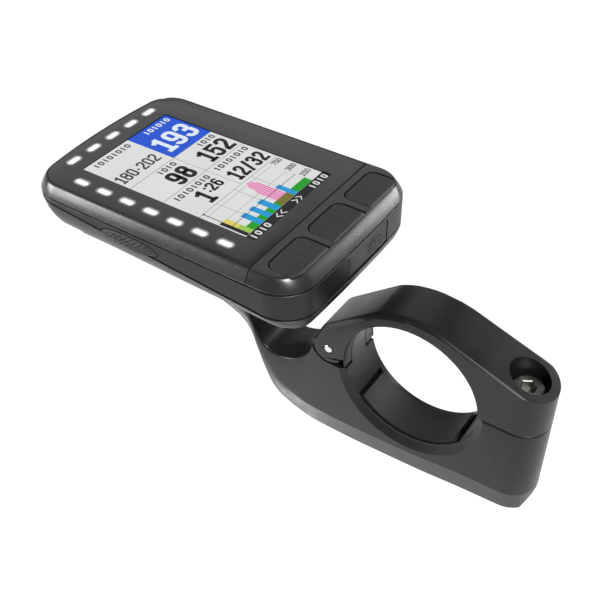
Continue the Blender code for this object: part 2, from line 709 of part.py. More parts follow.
def arm_sections():
    """Sections from the rear boss, under the bore, up the neck and out to the plate's end."""
    rows = []
    flat = (1.5, 6.2)
    for y, bottom in ((-30.6, -12.5), (-29.6, -17.5), (-27.6, -21.8), (-24.3, -24.8)):
        half = math.sqrt(CLAMP_HALF_WIDTH ** 2 - (y - BOLT_Y) ** 2)
        draw = min(flat[0], half * 0.5)
        rows.append(((y, PARTING_Z), (y, bottom), half, (draw, flat[1]), 0.0))
    half = CLAMP_HALF_WIDTH
    for top, bottom in (((-14.0, PARTING_Z), (-14.0, -25.9)), ((8.0, 9.0), (4.0, -27.2)),
                        ((12.0, 11.2), (14.0, -27.6)), ((16.8, 7.0), (20.0, -27.6)),
                        ((21.0, 5.2), (24.0, -27.5)), ((23.9, 3.9), (26.0, -27.4)),
                        ((25.2, 1.2), (27.8, -27.4))):
        rows.append((top, bottom, half, flat, 0.0))
    rows += [
        ((26.2, -2.2), (30.0, -27.3), half, (2.0, 7.0), 0.25),
        ((28.2, -5.0), (33.8, -26.9), half, (2.6, 8.0), 0.5),
        ((31.2, -7.4), (37.2, -25.4), half, (3.4, 8.0), 0.8),
        ((35.2, -8.7), (39.8, -22.2), half, (4.2, 8.0), 1.0),
        ((38.8, -7.9), (41.6, -17.7), half, (5.0, 7.0), 1.0),
        ((41.0, -5.2), (43.1, -12.4), 6.6, (5.4, 6.0), 1.0),
        ((42.0, -1.5), (44.5, -6.9), 7.2, (5.8, 5.6), 1.0),
        ((42.5, 3.0), (47.2, -1.7), 8.4, (6.2, 5.6), 1.0),
        ((43.2, 7.6), (51.0, 3.4), 10.2, (6.0, 5.4), 1.0),
        ((44.6, 11.4), (53.2, 8.0), 12.2, (4.6, 4.4), 1.0),
        ((47.2, 14.0), (55.2, 11.0), 13.8, (3.0, 2.4), 1.0),
        ((50.6, 14.7), (57.6, 12.2), 14.7, (1.6, 1.4), 1.0),
    ]
    for y in (60.0, 64.0, 67.5, 69.8, 70.8):
        end_half = math.sqrt(15.0 ** 2 - (y - TURN_Y) ** 2)
        rows.append(((y, 14.7), (y, 12.2), end_half, (0.8, 0.8), 1.0))
    return [section(*row) for row in rows]


def liner_sector(inner, outer, start, end):
    return sector(0.0, 0.0, inner, outer, start, end, 14)


def build_mount_arm():
    arm = loft("mount_arm", arm_sections())
    half = CLAMP_HALF_WIDTH
    cut(arm, rod("arm_bore", "X", (0, 0), BORE_RADIUS, -9, 9, 64))
    lug_room = KNUCKLE_HALF_WIDTH
    for side in (-1, 1):
        low, high = sorted((side * lug_room, side * 10))
        label = "left" if side < 0 else "right"
        cut(arm, rod("arm_lug_room_" + label, "X", (PIN_Y, PIN_Z), LUG_RADIUS + GAP, low, high, 32))
        cut(arm, box("arm_lug_side_" + label, (low, 6, PIN_Z - LUG_RADIUS - GAP),
                     (high, PIN_Y, 20), CUTTERS))
        cut(arm, box("arm_lug_top_" + label, (low, PIN_Y - 1, PIN_Z),
                     (high, PIN_Y + LUG_RADIUS + GAP, 20), CUTTERS))
    cut(arm, rod("arm_pin_hole", "X", (PIN_Y, PIN_Z), PIN_RADIUS + GAP, -10, 10, 20))
    cut(arm, prism("arm_liner_room", liner_sector(BORE_RADIUS - 1, LINER_OUTER + GAP, -141, -37),
                   "X", 0.6 - half, half - 0.6))
    cut(arm, rod("arm_bolt_hole", "Z", (0, BOLT_Y), 2.6, -10.5, 5, 24))
    cut(arm, rod("arm_sleeve_room", "Z", (0, BOLT_Y), 3.6, SLEEVE_LOW_Z - GAP, 5, 24))
    for i, y in enumerate(INSERT_SCREW_YS):
        cut(arm, rod(f"arm_screw_hole_{i}", "Z", (0, y), 1.4, 9, 18, 16))
        cut(arm, rod(f"arm_screw_head_{i}", "Z", (0, y), 2.2, 5, 13.85, 16))
    return paint(smooth(arm, 30), (0.05, 0.05, 0.05), 0.5)


def build_thread_sleeve():
    """A brass sleeve pressed into the rear boss from above; it holds the bolt's thread."""
    sleeve = rod("thread_sleeve", "Z", (0, BOLT_Y), 3.3, SLEEVE_LOW_Z, SLEEVE_TOP_Z, 24)
    cut(sleeve, rod("sleeve_bore", "Z", (0, BOLT_Y), 2.15, -20, 5, 24))
    return paint(sleeve, (0.65, 0.5, 0.25), 0.35, 1.0)


def build_liner(name, start, end):
    liner = prism(name, liner_sector(BAR_RADIUS, LINER_OUTER, start, end), "X",
                  0.9 - CLAMP_HALF_WIDTH, CLAMP_HALF_WIDTH - 0.9)
    return paint(smooth(liner), (0.04, 0.04, 0.04), 0.8)


# ---------------------------------------------------------------- clamp strap

def strap_outline(grow):
    """Side outline (y, z) of the strap, its outer side drawn out by grow."""
    lug = arc(PIN_Y, PIN_Z, LUG_RADIUS, -160, 30, 12)
    crown = [(STRAP_RAMP_Y + 0.6 * grow, STRAP_RAMP_Z + 0.8 * grow)]
    crown += arc(0.0, 0.0, STRAP_CROWN_RADIUS + grow, 61, 100, 10)
    crown += [(STRAP_TOP_Y, STRAP_TOP_Z + grow)]
    rear_y = BOLT_Y - CLAMP_HALF_WIDTH - 1
    rear_z = STRAP_TOP_Z + STRAP_TOP_SLOPE * (rear_y - STRAP_TOP_Y)
    rear = [(rear_y, rear_z + grow), (rear_y, PARTING_Z + GAP)]
    bore_start = 180 - math.degrees(math.asin((PARTING_Z + GAP) / BORE_RADIUS))
    bore = arc(0.0, 0.0, BORE_RADIUS, bore_start, -8, 26)
    return lug + crown + rear + bore


def build_clamp_strap():
    """The upper half of the clamp, hinged in front of the bar; its origin is on the pin."""
    half = CLAMP_HALF_WIDTH
    full = strap_outline(0.0)
    edge = strap_outline(-1.3)
    strap = loft("clamp_strap", [
        [(-half, y, z) for y, z in edge],
        [(1.0 - half, y, z) for y, z in full],
        [(half - 1.0, y, z) for y, z in full],
        [(half, y, z) for y, z in edge],
    ])
    plan = arc(0.0, BOLT_Y, half, 180, 360, 16) + [(half, 40), (-half, 40)]
    keep(strap, prism("strap_plan", plan, "Z", -10, 40))
    slot = KNUCKLE_HALF_WIDTH + GAP
    cut(strap, prism("strap_slot", [(10.4, -10), (40, -10), (40, 24), (17.5, 24), (10.4, 11.6)],
                     "X", -slot, slot))
    cut(strap, rod("strap_pin_hole", "X", (PIN_Y, PIN_Z), PIN_RADIUS + GAP, -10, 10, 20))
    cut(strap, rod("strap_counterbore", "Z", (0, BOLT_Y), 4.5, 4.4, 40, 32))
    cut(strap, rod("strap_bolt_hole", "Z", (0, BOLT_Y), 2.3, -5, 10, 24))
    cut(strap, prism("strap_liner_room", liner_sector(BORE_RADIUS - 1, LINER_OUTER + GAP, 57, 143),
                     "X", 0.6 - half, half - 0.6))
    move_origin(strap, (0, PIN_Y, PIN_Z))
    return paint(smooth(strap, 30), (0.05, 0.05, 0.05), 0.5)


def move_origin(obj, place):
    """Put the object's origin at a point, leaving its shape where it is."""
    offset = Vector(place) * MM
    obj.data.transform(Matrix.Translation(-offset))
    obj.location = offset


def build_hinge_pin():
    pin = rod("hinge_pin", "X", (PIN_Y, PIN_Z), PIN_RADIUS, -CLAMP_HALF_WIDTH, CLAMP_HALF_WIDTH, 20)
    return paint(smooth(soften(pin, 0.2)), (0.8, 0.8, 0.8), 0.2, 1.0)


def build_clamp_bolt():
    """A socket-head bolt standing in the strap's counterbore; its origin is on its axis."""
    bolt = rod("clamp_bolt", "Z", (0, BOLT_Y), 3.5, 5.6, 9.4, 32)
    join(bolt, rod("bolt_shank", "Z", (0, BOLT_Y), BOLT_RADIUS, BOLT_END_Z, 6.0, 24))
    cut(bolt, rod("bolt_socket", "Z", (0, BOLT_Y), 1.75, 7.2, 12, 6))
    move_origin(bolt, (0, BOLT_Y, 0))
    return paint(smooth(bolt), (0.45, 0.45, 0.43), 0.35, 1.0)


def build_bolt_washer():
    washer = rod("bolt_washer", "Z", (0, BOLT_Y), 4.0, 4.7, 5.3, 32)
    cut(washer, rod("washer_bore", "Z", (0, BOLT_Y), 2.2, 0, 9, 24))
    return paint(smooth(washer), (0.6, 0.6, 0.6), 0.3, 1.0)


# ---------------------------------------------------------------- assembly

def build_head_unit():
    build_front_cover()
    build_display_window()
    build_button_panel()
    build_mid_frame()
    build_rear_case()
    build_case_gasket()
    build_lcd_panel()
    build_lcd_frame()
    top, side = led_places()
    build_light_guide("light_guide_top", top, True)
    build_light_guide("light_guide_left", side, False)
    for name, place in (("button_left", -1), ("button_center", 0), ("button_right", 1)):
        build_front_button(name, place)
    build_keypad_membrane()
    build_power_button()
    for name in SIDE_BUTTON_YS:
        build_side_button(name)
    build_main_board()
    build_switches()
    build_electronics()
    build_usb_port()
    build_usb_cover()
    build_case_screws()
    build_turn_socket()


def build_mount():
    build_mount_arm()
    build_mount_insert()
    build_insert_screws()
    build_thread_sleeve()
    build_liner("lower_liner", -137, -41)
    build_clamp_strap()
    build_liner("upper_liner", 60, 140)
    build_hinge_pin()
    build_clamp_bolt()
    build_bolt_washer()


build_head_unit()
build_mount()
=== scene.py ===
"""Looks of the cycling computer: visual pieces, materials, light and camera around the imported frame."""
import json
import math

import bmesh
import bpy
from mathutils import Matrix, Vector, noise


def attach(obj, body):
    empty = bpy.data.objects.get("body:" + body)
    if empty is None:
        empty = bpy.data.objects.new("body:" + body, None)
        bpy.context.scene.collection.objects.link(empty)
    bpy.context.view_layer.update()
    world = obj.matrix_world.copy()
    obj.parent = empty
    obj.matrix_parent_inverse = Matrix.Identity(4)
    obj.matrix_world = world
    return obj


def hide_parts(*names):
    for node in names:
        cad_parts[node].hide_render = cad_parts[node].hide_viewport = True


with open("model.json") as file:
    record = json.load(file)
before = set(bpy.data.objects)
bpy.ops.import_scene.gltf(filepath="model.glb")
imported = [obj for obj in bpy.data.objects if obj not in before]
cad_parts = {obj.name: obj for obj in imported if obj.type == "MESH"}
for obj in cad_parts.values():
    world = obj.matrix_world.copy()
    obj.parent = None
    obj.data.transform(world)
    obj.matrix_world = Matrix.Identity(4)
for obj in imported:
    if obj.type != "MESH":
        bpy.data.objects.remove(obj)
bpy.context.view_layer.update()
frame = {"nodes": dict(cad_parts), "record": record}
SCENE = bpy.context.scene
MM = 0.001


# ---------------------------------------------------------------- sizes, in millimetres

# head unit: half width, ends, plan corner radius and the heights of its faces and seams
HALF = 24.7
REAR_Y = 17.3
FRONT_Y = 93.3
CORNER = 8.5
TOP_Z = 32.5
SEAM_Z = 29.7
BELLY_Z = 17.0
SPLIT_Y = 29.4
PART_Z, PART_SLOPE = 22.3, 0.085
RIM_Z, RIM_SLOPE = 20.9, 0.035
TURN_Y = 56.0
# keys on the top strip, and the heights of the strip and of the keys
KEY_PITCH, KEY_WIDTH, KEY_NEAR_Y, KEY_FAR_Y = 14.4, 12.4, 19.6, 27.3
KEY_NEAR_ROUND, KEY_FAR_ROUND = 0.6, 2.2
PANEL_TOP_Z = 32.7
KEY_TOP_Z = 33.05
# flat of the strip: where its round rear corners start, and their radius
TOP_CORNER_X, TOP_CORNER_Y, TOP_CORNER = 16.9, 25.9, 6.35
# side keys: name, side, middle and half length
SIDE_KEYS = (("power", -1, 61.2, 8.2), ("up", 1, 66.5, 4.6), ("down", 1, 53.5, 4.6))
SIDE_KEY_Z, SIDE_KEY_RISE = 26.9, 1.6
# display, and the two rows of indicator lights beside it
LCD_X, LCD_LOW, LCD_HIGH = 14.6, 34.1, 83.4
LCD_Z = 32.3
LAYER = 0.02
LED_SIDE_X, LED_SIDE_Y, LED_SIDE_PITCH, LED_SIDE_COUNT = -18.8, 79.6, 6.83, 7
LED_TOP_Y, LED_TOP_PITCH, LED_TOP_COUNT = 87.6, 6.58, 5
# fasteners of the rear case, and how deep the rear and front ones are seated
CASE_SCREWS = [(-19.6, 33.0), (19.6, 33.0), (-19.6, 84.0), (19.6, 84.0)]
REAR_SEAT, FRONT_SEAT = 3.2, 5.0
# port door
DOOR_X, DOOR_WIDTH, DOOR_LOW, DOOR_HIGH = 3.4, 15.8, 22.62, 28.18
# mount: bore, clamp, hinge pin, bolt and the plate that carries the head unit
BORE = 16.7
CLAMP_HALF = 6.45
PIN_Y, PIN_Z, LUG = 21.0, 1.2, 4.3
PIN_HOLE = 1.25
BOLT_Y = -24.3
PARTING_Z = 0.78
PLATE = 15.0
STRAP_CROWN, STRAP_REAR_Y, STRAP_REAR_Z, STRAP_REAR_SLOPE = 20.0, -5.0, 19.4, 0.35
LINER_POCKET = (15.7, 18.5, 5.05)


# ---------------------------------------------------------------- outlines

def arc(cx, cy, radius, start, end, steps):
    """Points of an arc between two angles in degrees."""
    points = []
    for i in range(steps + 1):
        angle = math.radians(start + (end - start) * i / steps)
        points.append((cx + radius * math.cos(angle), cy + radius * math.sin(angle)))
    return points


def crowned(x_start, y, bulge, steps=12):
    """Inner points of a slightly bowed edge from x_start to its mirror image."""
    return [(x_start * (1 - 2 * i / steps), y + bulge * 4 * (i / steps) * (1 - i / steps))
            for i in range(1, steps)]


def unit_outline(side=0.0, rear=None, front=None, steps=14):
    """The head unit's plan outline drawn in by insets, counter-clockwise."""
    bow_front, bow_rear = 0.9, -0.3
    rear = side if rear is None else rear
    front = side if front is None else front
    half = HALF - side
    low = REAR_Y + rear
    high = FRONT_Y - bow_front - front
    rear_r = max(CORNER - max(side, rear), 1.0)
    front_r = max(CORNER - max(side, front), 1.0)
    points = arc(half - rear_r, low + rear_r, rear_r, -90, 0, steps)
    points += arc(half - front_r, high - front_r, front_r, 0, 90, steps)
    points += crowned(half - front_r, high, bow_front)
    points += arc(front_r - half, high - front_r, front_r, 90, 180, steps)
    points += arc(rear_r - half, low + rear_r, rear_r, 180, 270, steps)
    points += crowned(rear_r - half, low, bow_rear)
    return points


def rounded_rect(cx, cy, width, height, radius, steps=6):
    x = width / 2 - radius
    y = height / 2 - radius
    points = []
    for sx, sy, start in ((1, -1, -90), (1, 1, 0), (-1, 1, 90), (-1, -1, 180)):
        points += arc(cx + sx * x, cy + sy * y, radius, start, start + 90, steps)
    return points


def bar(x0, y0, x1, y1):
    return [(x0, y0), (x1, y0), (x1, y1), (x0, y1)]


def oblong(left, bottom, right, top, radius, steps=5):
    return rounded_rect((left + right) / 2, (bottom + top) / 2, right - left, top - bottom, radius, steps)


def ellipse(cx, cy, rx, ry, steps=48):
    return [(cx + rx * math.cos(2 * math.pi * i / steps),
             cy + ry * math.sin(2 * math.pi * i / steps)) for i in range(steps)]


def ring_sector(inner, outer, start, end, steps=48):
    """A sector of a ring about the bar's axis."""
    return arc(0, 0, outer, start, end, steps) + arc(0, 0, inner, end, start, steps)


def level(points, z):
    return [(x, y, z) for x, y in points]


def sloped(points, z, slope):
    """A ring whose height is z at the rear wall and rises with y."""
    return [(x, y, z + slope * (y - REAR_Y)) for x, y in points]


def lift(points, axis, value):
    """Flat points given their third coordinate."""
    index = "XYZ".index(axis)
    ring = []
    for point in points:
        place = list(point)
        place.insert(index, value)
        ring.append(tuple(place))
    return ring


# ---------------------------------------------------------------- mesh building

def bridge(bm, rows):
    """Quads between each closed row of vertices and the next."""
    for lower, upper in zip(rows, rows[1:]):
        for i in range(len(lower)):
            j = (i + 1) % len(lower)
            bm.faces.new((lower[i], lower[j], upper[j], upper[i]))


def ring_mesh(rings, closed=False):
    """A solid through rings of equal point count; closed joins the last ring to the first."""
    bm = bmesh.new()
    rows = [[bm.verts.new(Vector(point) * MM) for point in ring] for ring in rings]
    bridge(bm, rows)
    if closed:
        bridge(bm, (rows[-1], rows[0]))
    else:
        bm.faces.new(rows[0])
        bm.faces.new(rows[-1])
    bmesh.ops.recalc_face_normals(bm, faces=bm.faces)
    return bm


def prism_mesh(points, axis, low, high):
    """An extruded outline."""
    return ring_mesh([lift(points, axis, low), lift(points, axis, high)])


def shrink(points, amount):
    """Points moved inwards along the outline's own normals, for a counter-clockwise outline."""
    moved = []
    count = len(points)
    for i in range(count):
        before = Vector(points[i - 1])
        here = Vector(points[i])
        after = Vector(points[(i + 1) % count])
        along = (after - here).normalized() + (here - before).normalized()
        along.normalize()
        moved.append((here.x - along.y * amount, here.y + along.x * amount))
    return moved


def box_mesh(low, high):
    return prism_mesh(bar(*low[:2], *high[:2]), "Z", low[2], high[2])


def rod_mesh(axis, centre, profile, steps=64):
    """A turned shape along an axis from (radius, position) pairs."""
    return ring_mesh([lift(ellipse(*centre, radius, radius, steps), axis, place)
                      for radius, place in profile])


def hole_mesh(axis, centre, radius, low, high, steps=48):
    """A plain round cutter."""
    return rod_mesh(axis, centre, [(radius, low), (radius, high)], steps)


def plate_mesh(outer, holes, low, high, soft=0.15):
    """A flat plate with holes; its outer top rim is softened."""
    bm = bmesh.new()
    top_edges, low_edges = [], []
    for number, loop in enumerate([outer] + holes):
        levels = [(loop, low), (loop, high)]
        if number == 0:
            levels = [(loop, low), (loop, high - soft), (shrink(loop, soft * 0.3), high - soft * 0.3),
                      (shrink(loop, soft), high)]
        rows = [[bm.verts.new(Vector((x, y, z)) * MM) for x, y in points] for points, z in levels]
        bridge(bm, rows)
        for row, edges in ((rows[0], low_edges), (rows[-1], top_edges)):
            for i in range(len(row)):
                edges.append(bm.edges.get((row[i], row[(i + 1) % len(row)])))
    bmesh.ops.triangle_fill(bm, use_beauty=True, edges=top_edges)
    bmesh.ops.triangle_fill(bm, use_beauty=True, edges=low_edges)
    bmesh.ops.recalc_face_normals(bm, faces=bm.faces)
    return bm


def open_edges(bm):
    return [edge for edge in bm.edges if edge.is_boundary]


def slice_mesh(bm, point, normal):
    """Keeps the side of a plane that its normal points away from, and closes the cut."""
    geometry = bm.verts[:] + bm.edges[:] + bm.faces[:]
    bmesh.ops.bisect_plane(bm, geom=geometry, plane_co=Vector(point) * MM, plane_no=normal,
                           clear_outer=True)
    bmesh.ops.holes_fill(bm, edges=open_edges(bm), sides=0)
    bmesh.ops.recalc_face_normals(bm, faces=bm.faces)


def slab_mesh(surface, columns, rows, axis, base):
    """A closed slab: a grid of surface(u, v) points with straight walls down to a flat base."""
    bm = bmesh.new()
    grid = []
    for j in range(rows + 1):
        grid.append([bm.verts.new(Vector(surface(i / columns, j / rows)) * MM)
                     for i in range(columns + 1)])
    for j in range(rows):
        for i in range(columns):
            bm.faces.new((grid[j][i], grid[j][i + 1], grid[j + 1][i + 1], grid[j + 1][i]))
    wall = bmesh.ops.extrude_edge_only(bm, edges=open_edges(bm))
    for item in wall["geom"]:
        if isinstance(item, bmesh.types.BMVert):
            item.co[axis] = base * MM
    bmesh.ops.holes_fill(bm, edges=open_edges(bm), sides=0)
    bmesh.ops.remove_doubles(bm, verts=bm.verts, dist=0.002 * MM)
    bmesh.ops.recalc_face_normals(bm, faces=bm.faces)
    return bm


def merged(parts):
    """Several loose meshes in one bmesh."""
    whole = bmesh.new()
    for part in parts:
        mesh = bpy.data.meshes.new("part")
        part.to_mesh(mesh)
        part.free()
        whole.from_mesh(mesh)
        bpy.data.meshes.remove(mesh)
    return whole


def raw_object(name, bm):
    mesh = bpy.data.meshes.new(name)
    bm.to_mesh(mesh)
    bm.free()
    obj = bpy.data.objects.new(name, mesh)
    SCENE.collection.objects.link(obj)
    return obj


def settle(obj):
    """Turns an object's modifiers into its mesh."""
    graph = bpy.context.evaluated_depsgraph_get()
    mesh = bpy.data.meshes.new_from_object(obj.evaluated_get(graph))
    obj.modifiers.clear()
    obj.data = mesh


def bevel(obj, width, angle):
    modifier = obj.modifiers.new("bevel", "BEVEL")
    modifier.width = width * MM
    modifier.segments = 2
    modifier.limit_method = "ANGLE"
    modifier.angle_limit = math.radians(angle)
    settle(obj)


def carve(obj, *shapes, operation="DIFFERENCE"):
    """Boolean cuts with throwaway bodies."""
    for bm in shapes:
        tool = raw_object("tool", bm)
        modifier = obj.modifiers.new("cut", "BOOLEAN")
        modifier.operation = operation
        modifier.object = tool
        modifier.solver = "EXACT"
        settle(obj)
        bpy.data.objects.remove(tool, do_unlink=True)


def add_piece(obj, body, slot, replaces=(), angle=32.0, finish=None):
    """Finishes a piece: smooth shading, material, the body it rides on, and hides the frame parts that it
    stands for.
    """
    mesh = obj.data
    mesh.materials.clear()
    mesh.materials.append(FINISHES[finish or slot])
    mesh.shade_smooth()
    mesh.set_sharp_from_angle(angle=math.radians(angle))
    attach(obj, body)
    if replaces:
        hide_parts(*replaces)


def make(name, bm, body, slot, replaces=(), angle=32.0, finish=None):
    add_piece(raw_object(name, bm), body, slot, replaces, angle, finish)


# ---------------------------------------------------------------- materials

class Finish:
    """A Principled material and the helpers that wire it."""

    def __init__(self, name):
        self.material = bpy.data.materials.new(name)
        self.material.use_nodes = True
        self.tree = self.material.node_tree
        self.shader = self.tree.nodes["Principled BSDF"]

    def fill(self, node, inputs):
        """Sets a node's inputs, each to a value or to another node's output."""
        for key, value in inputs.items():
            if isinstance(value, bpy.types.NodeSocket):
                self.tree.links.new(value, node.inputs[key])
            else:
                node.inputs[key].default_value = value

    def surface(self, inputs):
        self.fill(self.shader, inputs)

    def node(self, kind, output, inputs):
        node = self.tree.nodes.new(kind)
        self.fill(node, inputs)
        return node.outputs[output]

    def coordinates(self, scale=(1.0, 1.0, 1.0)):
        place = self.node("ShaderNodeTexCoord", "Object", {})
        return self.node("ShaderNodeMapping", "Vector", {"Vector": place, "Scale": scale})

    def noise(self, vector, scale, detail):
        return self.node("ShaderNodeTexNoise", "Fac", {
            "Vector": vector, "Scale": scale, "Detail": detail, "Roughness": 0.55})

    def ramp(self, value, low, dark, high, light):
        node = self.tree.nodes.new("ShaderNodeValToRGB")
        for element, place, colour in zip(node.color_ramp.elements, (low, high), (dark, light)):
            element.position = place
            element.color = (*colour, 1.0)
        self.fill(node, {"Fac": value})
        return node.outputs["Color"]

    def spread(self, value, low, high):
        """A noise value stretched over a range."""
        return self.node("ShaderNodeMapRange", "Result", {
            "Value": value, "From Min": 0.3, "From Max": 0.7, "To Min": low, "To Max": high})

    def bump(self, height, strength, distance):
        self.surface({"Normal": self.node("ShaderNodeBump", "Normal", {
            "Height": height, "Strength": strength, "Distance": distance * MM})})

    def sum(self, operation, *values):
        node = self.tree.nodes.new("ShaderNodeMath")
        node.operation = operation
        self.fill(node, dict(enumerate(values)))
        return node.outputs[0]


def moulded(name, dark, light, rough, grain=0.35, depth=0.25, specular=0.5):
    """Moulded plastic or rubber: fine spark-eroded grain, faint colour drift, uneven gloss."""
    finish = Finish(name)
    vector = finish.coordinates()
    drift = finish.noise(vector, 55.0, 4.0)
    wear = finish.noise(vector, 240.0, 5.0)
    finish.surface({"Base Color": finish.ramp(drift, 0.3, dark, 0.7, light),
                    "Roughness": finish.spread(wear, *rough),
                    "Specular IOR Level": specular})
    finish.bump(finish.noise(vector, 1.0 / (grain * MM), 2.0), depth, 0.03)
    return finish.material


def metal(name, dark, light, rough, brush=(1, 1, 1)):
    """Machined metal with brush marks and uneven polish."""
    finish = Finish(name)
    marks = finish.noise(finish.coordinates(brush), 900.0, 4.0)
    finish.surface({"Base Color": finish.ramp(marks, 0.25, dark, 0.75, light),
                    "Roughness": finish.spread(marks, *rough),
                    "Metallic": 1.0})
    finish.bump(marks, 0.15, 0.02)
    return finish.material


def lit(name, colour, strength=1.0, vary=0.06):
    """A lit patch of the display: fine cell structure and a little unevenness in its light."""
    finish = Finish(name)
    vector = finish.coordinates()
    cells = finish.tree.nodes.new("ShaderNodeTexBrick")
    cells.offset = 0.0
    finish.fill(cells, {
        "Vector": vector, "Scale": 1.0, "Brick Width": 0.12 * MM, "Row Height": 0.12 * MM,
        "Mortar Size": 0.008 * MM, "Color1": (*colour, 1.0),
        "Color2": (*(c * (1 - vary) for c in colour), 1.0),
        "Mortar": (*(c * 0.8 for c in colour), 1.0)})
    haze = finish.ramp(finish.noise(vector, 90.0, 2.0), 0.25, grey(0.95), 0.75, grey(1.0))
    blend = finish.tree.nodes.new("ShaderNodeMix")
    blend.data_type = "RGBA"
    blend.blend_type = "MULTIPLY"
    finish.fill(blend, {0: 1.0, 6: cells.outputs["Color"], 7: haze})
    finish.surface({"Emission Color": blend.outputs[2], "Emission Strength": strength,
                    "Base Color": (*grey(0.01), 1.0), "Roughness": 0.6, "Specular IOR Level": 0.1})
    return finish.material


def painted_glow_row(finish, across, along, centre, first, pitch, count):
    """Mask of painted light spill from a row of indicators, 1 at their edge and 0 a little way off."""
    sideways = finish.sum("SUBTRACT", across, centre * MM)
    shifted = finish.sum("SUBTRACT", along, (first - pitch / 2) * MM)
    place = finish.sum("WRAP", shifted, pitch * MM, 0.0)
    place = finish.sum("ABSOLUTE", finish.sum("SUBTRACT", place, pitch * MM / 2))
    place = finish.sum("MAXIMUM", finish.sum("SUBTRACT", place, 1.0 * MM), 0.0)
    far = finish.sum("ADD", finish.sum("POWER", sideways, 2.0), finish.sum("POWER", place, 2.0))
    near = finish.tree.nodes.new("ShaderNodeMapRange")
    near.interpolation_type = "SMOOTHERSTEP"
    finish.fill(near, {"Value": finish.sum("SQRT", far), "From Min": 0.35 * MM, "From Max": 1.9 * MM,
                       "To Min": 1.0, "To Max": 0.0})
    inside = finish.sum("GREATER_THAN", shifted, 0.0)
    last = finish.sum("LESS_THAN", shifted, pitch * count * MM)
    return finish.sum("MULTIPLY", finish.sum("MULTIPLY", near.outputs["Result"], inside), last)


def printed_glass_and_painted_glow():
    """Back-printed cover glass: dark gloss, with a painted glow (emission) around each indicator standing
    in for its light spill.
    """
    finish = Finish("cover_glass_print_and_painted_glow")
    place = finish.node("ShaderNodeTexCoord", "Object", {})
    split = finish.tree.nodes.new("ShaderNodeSeparateXYZ")
    finish.fill(split, {"Vector": place})
    x, y = split.outputs["X"], split.outputs["Y"]
    side_first = LED_SIDE_Y - (LED_SIDE_COUNT - 1) * LED_SIDE_PITCH
    top_first = -(LED_TOP_COUNT - 1) / 2 * LED_TOP_PITCH
    left = painted_glow_row(finish, x, y, LED_SIDE_X, side_first, LED_SIDE_PITCH, LED_SIDE_COUNT)
    top = painted_glow_row(finish, y, x, LED_TOP_Y, top_first, LED_TOP_PITCH, LED_TOP_COUNT)
    glow = finish.sum("POWER", finish.sum("ADD", left, top), 2.2)
    vector = finish.coordinates()
    drift = finish.noise(vector, 40.0, 3.0)
    smear = finish.noise(vector, 160.0, 4.0)
    # the emission here is painted light: a glow around the indicators in place of their real spill into
    # the glass
    finish.surface({
        "Emission Color": finish.ramp(glow, 0.0, grey(0.0), 1.0, (0.62, 0.64, 0.66)),
        "Emission Strength": 1.0,
        "Base Color": finish.ramp(drift, 0.3, (0.011, 0.011, 0.0105), 0.7, (0.015, 0.015, 0.0145)),
        "Roughness": finish.spread(smear, 0.19, 0.26),
        "Specular IOR Level": 0.6})
    return finish.material


def grey(value):
    return (value, value, value)


# finishes by the slot of the frame that they dress, then those of single pieces
FINISHES = {
    "casing": moulded("casing_moulding", grey(0.0050), grey(0.0075), (0.38, 0.46), specular=0.36),
    "bezel": moulded("bezel_moulding", grey(0.022), grey(0.030), (0.24, 0.31), 0.25, 0.03, 0.6),
    "keys": moulded("key_rubber", grey(0.009), grey(0.016), (0.45, 0.6), 0.2, 0.4),
    "seals": moulded("seal_rubber", grey(0.005), grey(0.008), (0.5, 0.65), 0.3, 0.4, 0.35),
    "mount": moulded("mount_moulding", grey(0.0060), grey(0.0095), (0.30, 0.37), 0.3, 0.3, 0.36),
    "display": moulded("inner_moulding", grey(0.02), grey(0.03), (0.5, 0.6)),
    "board": moulded("board_mask", (0.010, 0.060, 0.025), (0.020, 0.110, 0.045), (0.3, 0.45), 0.6),
    "cell": moulded("cell_wrap", (0.30, 0.32, 0.34), (0.42, 0.44, 0.46), (0.3, 0.5), 2.0, 0.5),
    "ceramic": moulded("fired_ceramic", (0.60, 0.54, 0.44), (0.74, 0.68, 0.58), (0.5, 0.7)),
    "silicone": moulded("silicone_sheet", (0.16, 0.17, 0.19), (0.26, 0.27, 0.30), (0.45, 0.6)),
    "pin_metal": metal("pin_metal", (0.62, 0.62, 0.61), (0.86, 0.86, 0.85), (0.18, 0.30)),
    "bolt_metal": metal("bolt_metal", (0.16, 0.158, 0.15), (0.30, 0.295, 0.28), (0.42, 0.55)),
    "screw_metal": metal("screw_metal", (0.20, 0.20, 0.21), (0.38, 0.38, 0.39), (0.3, 0.45)),
    "sleeve_brass": metal("turned_brass", (0.50, 0.36, 0.14), (0.76, 0.58, 0.28), (0.25, 0.4),
                          brush=(1, 1, 12)),
    "tinplate": metal("tinplate", grey(0.50), (0.72, 0.72, 0.71), (0.2, 0.35), brush=(1, 8, 1)),
    "display_glass": printed_glass_and_painted_glow(),
    "light_guide": lit("indicator_light", (0.96, 0.98, 1.0), 1.6, 0.02),
    "panel": moulded("panel_moulding", grey(0.014), grey(0.019), (0.26, 0.33), 0.25, 0.10),
}
PICTURE_TINTS = {
    "white": (0.77, 0.78, 0.78), "ink": (0.010, 0.010, 0.012), "grey_ink": (0.055, 0.055, 0.06),
    "rule": (0.36, 0.36, 0.38), "blue": (0.010, 0.090, 0.68), "pale": (0.80, 0.88, 0.97),
    "cyan": (0.010, 0.33, 0.70), "green": (0.008, 0.36, 0.012), "yellow": (0.78, 0.66, 0.13),
    "lime": (0.36, 0.60, 0.10), "pink": (0.78, 0.14, 0.52), "rose": (0.86, 0.55, 0.60),
    "olive": (0.19, 0.17, 0.02),
}
for tint, colour in PICTURE_TINTS.items():
    FINISHES[tint] = lit(f"picture_{tint}", colour)


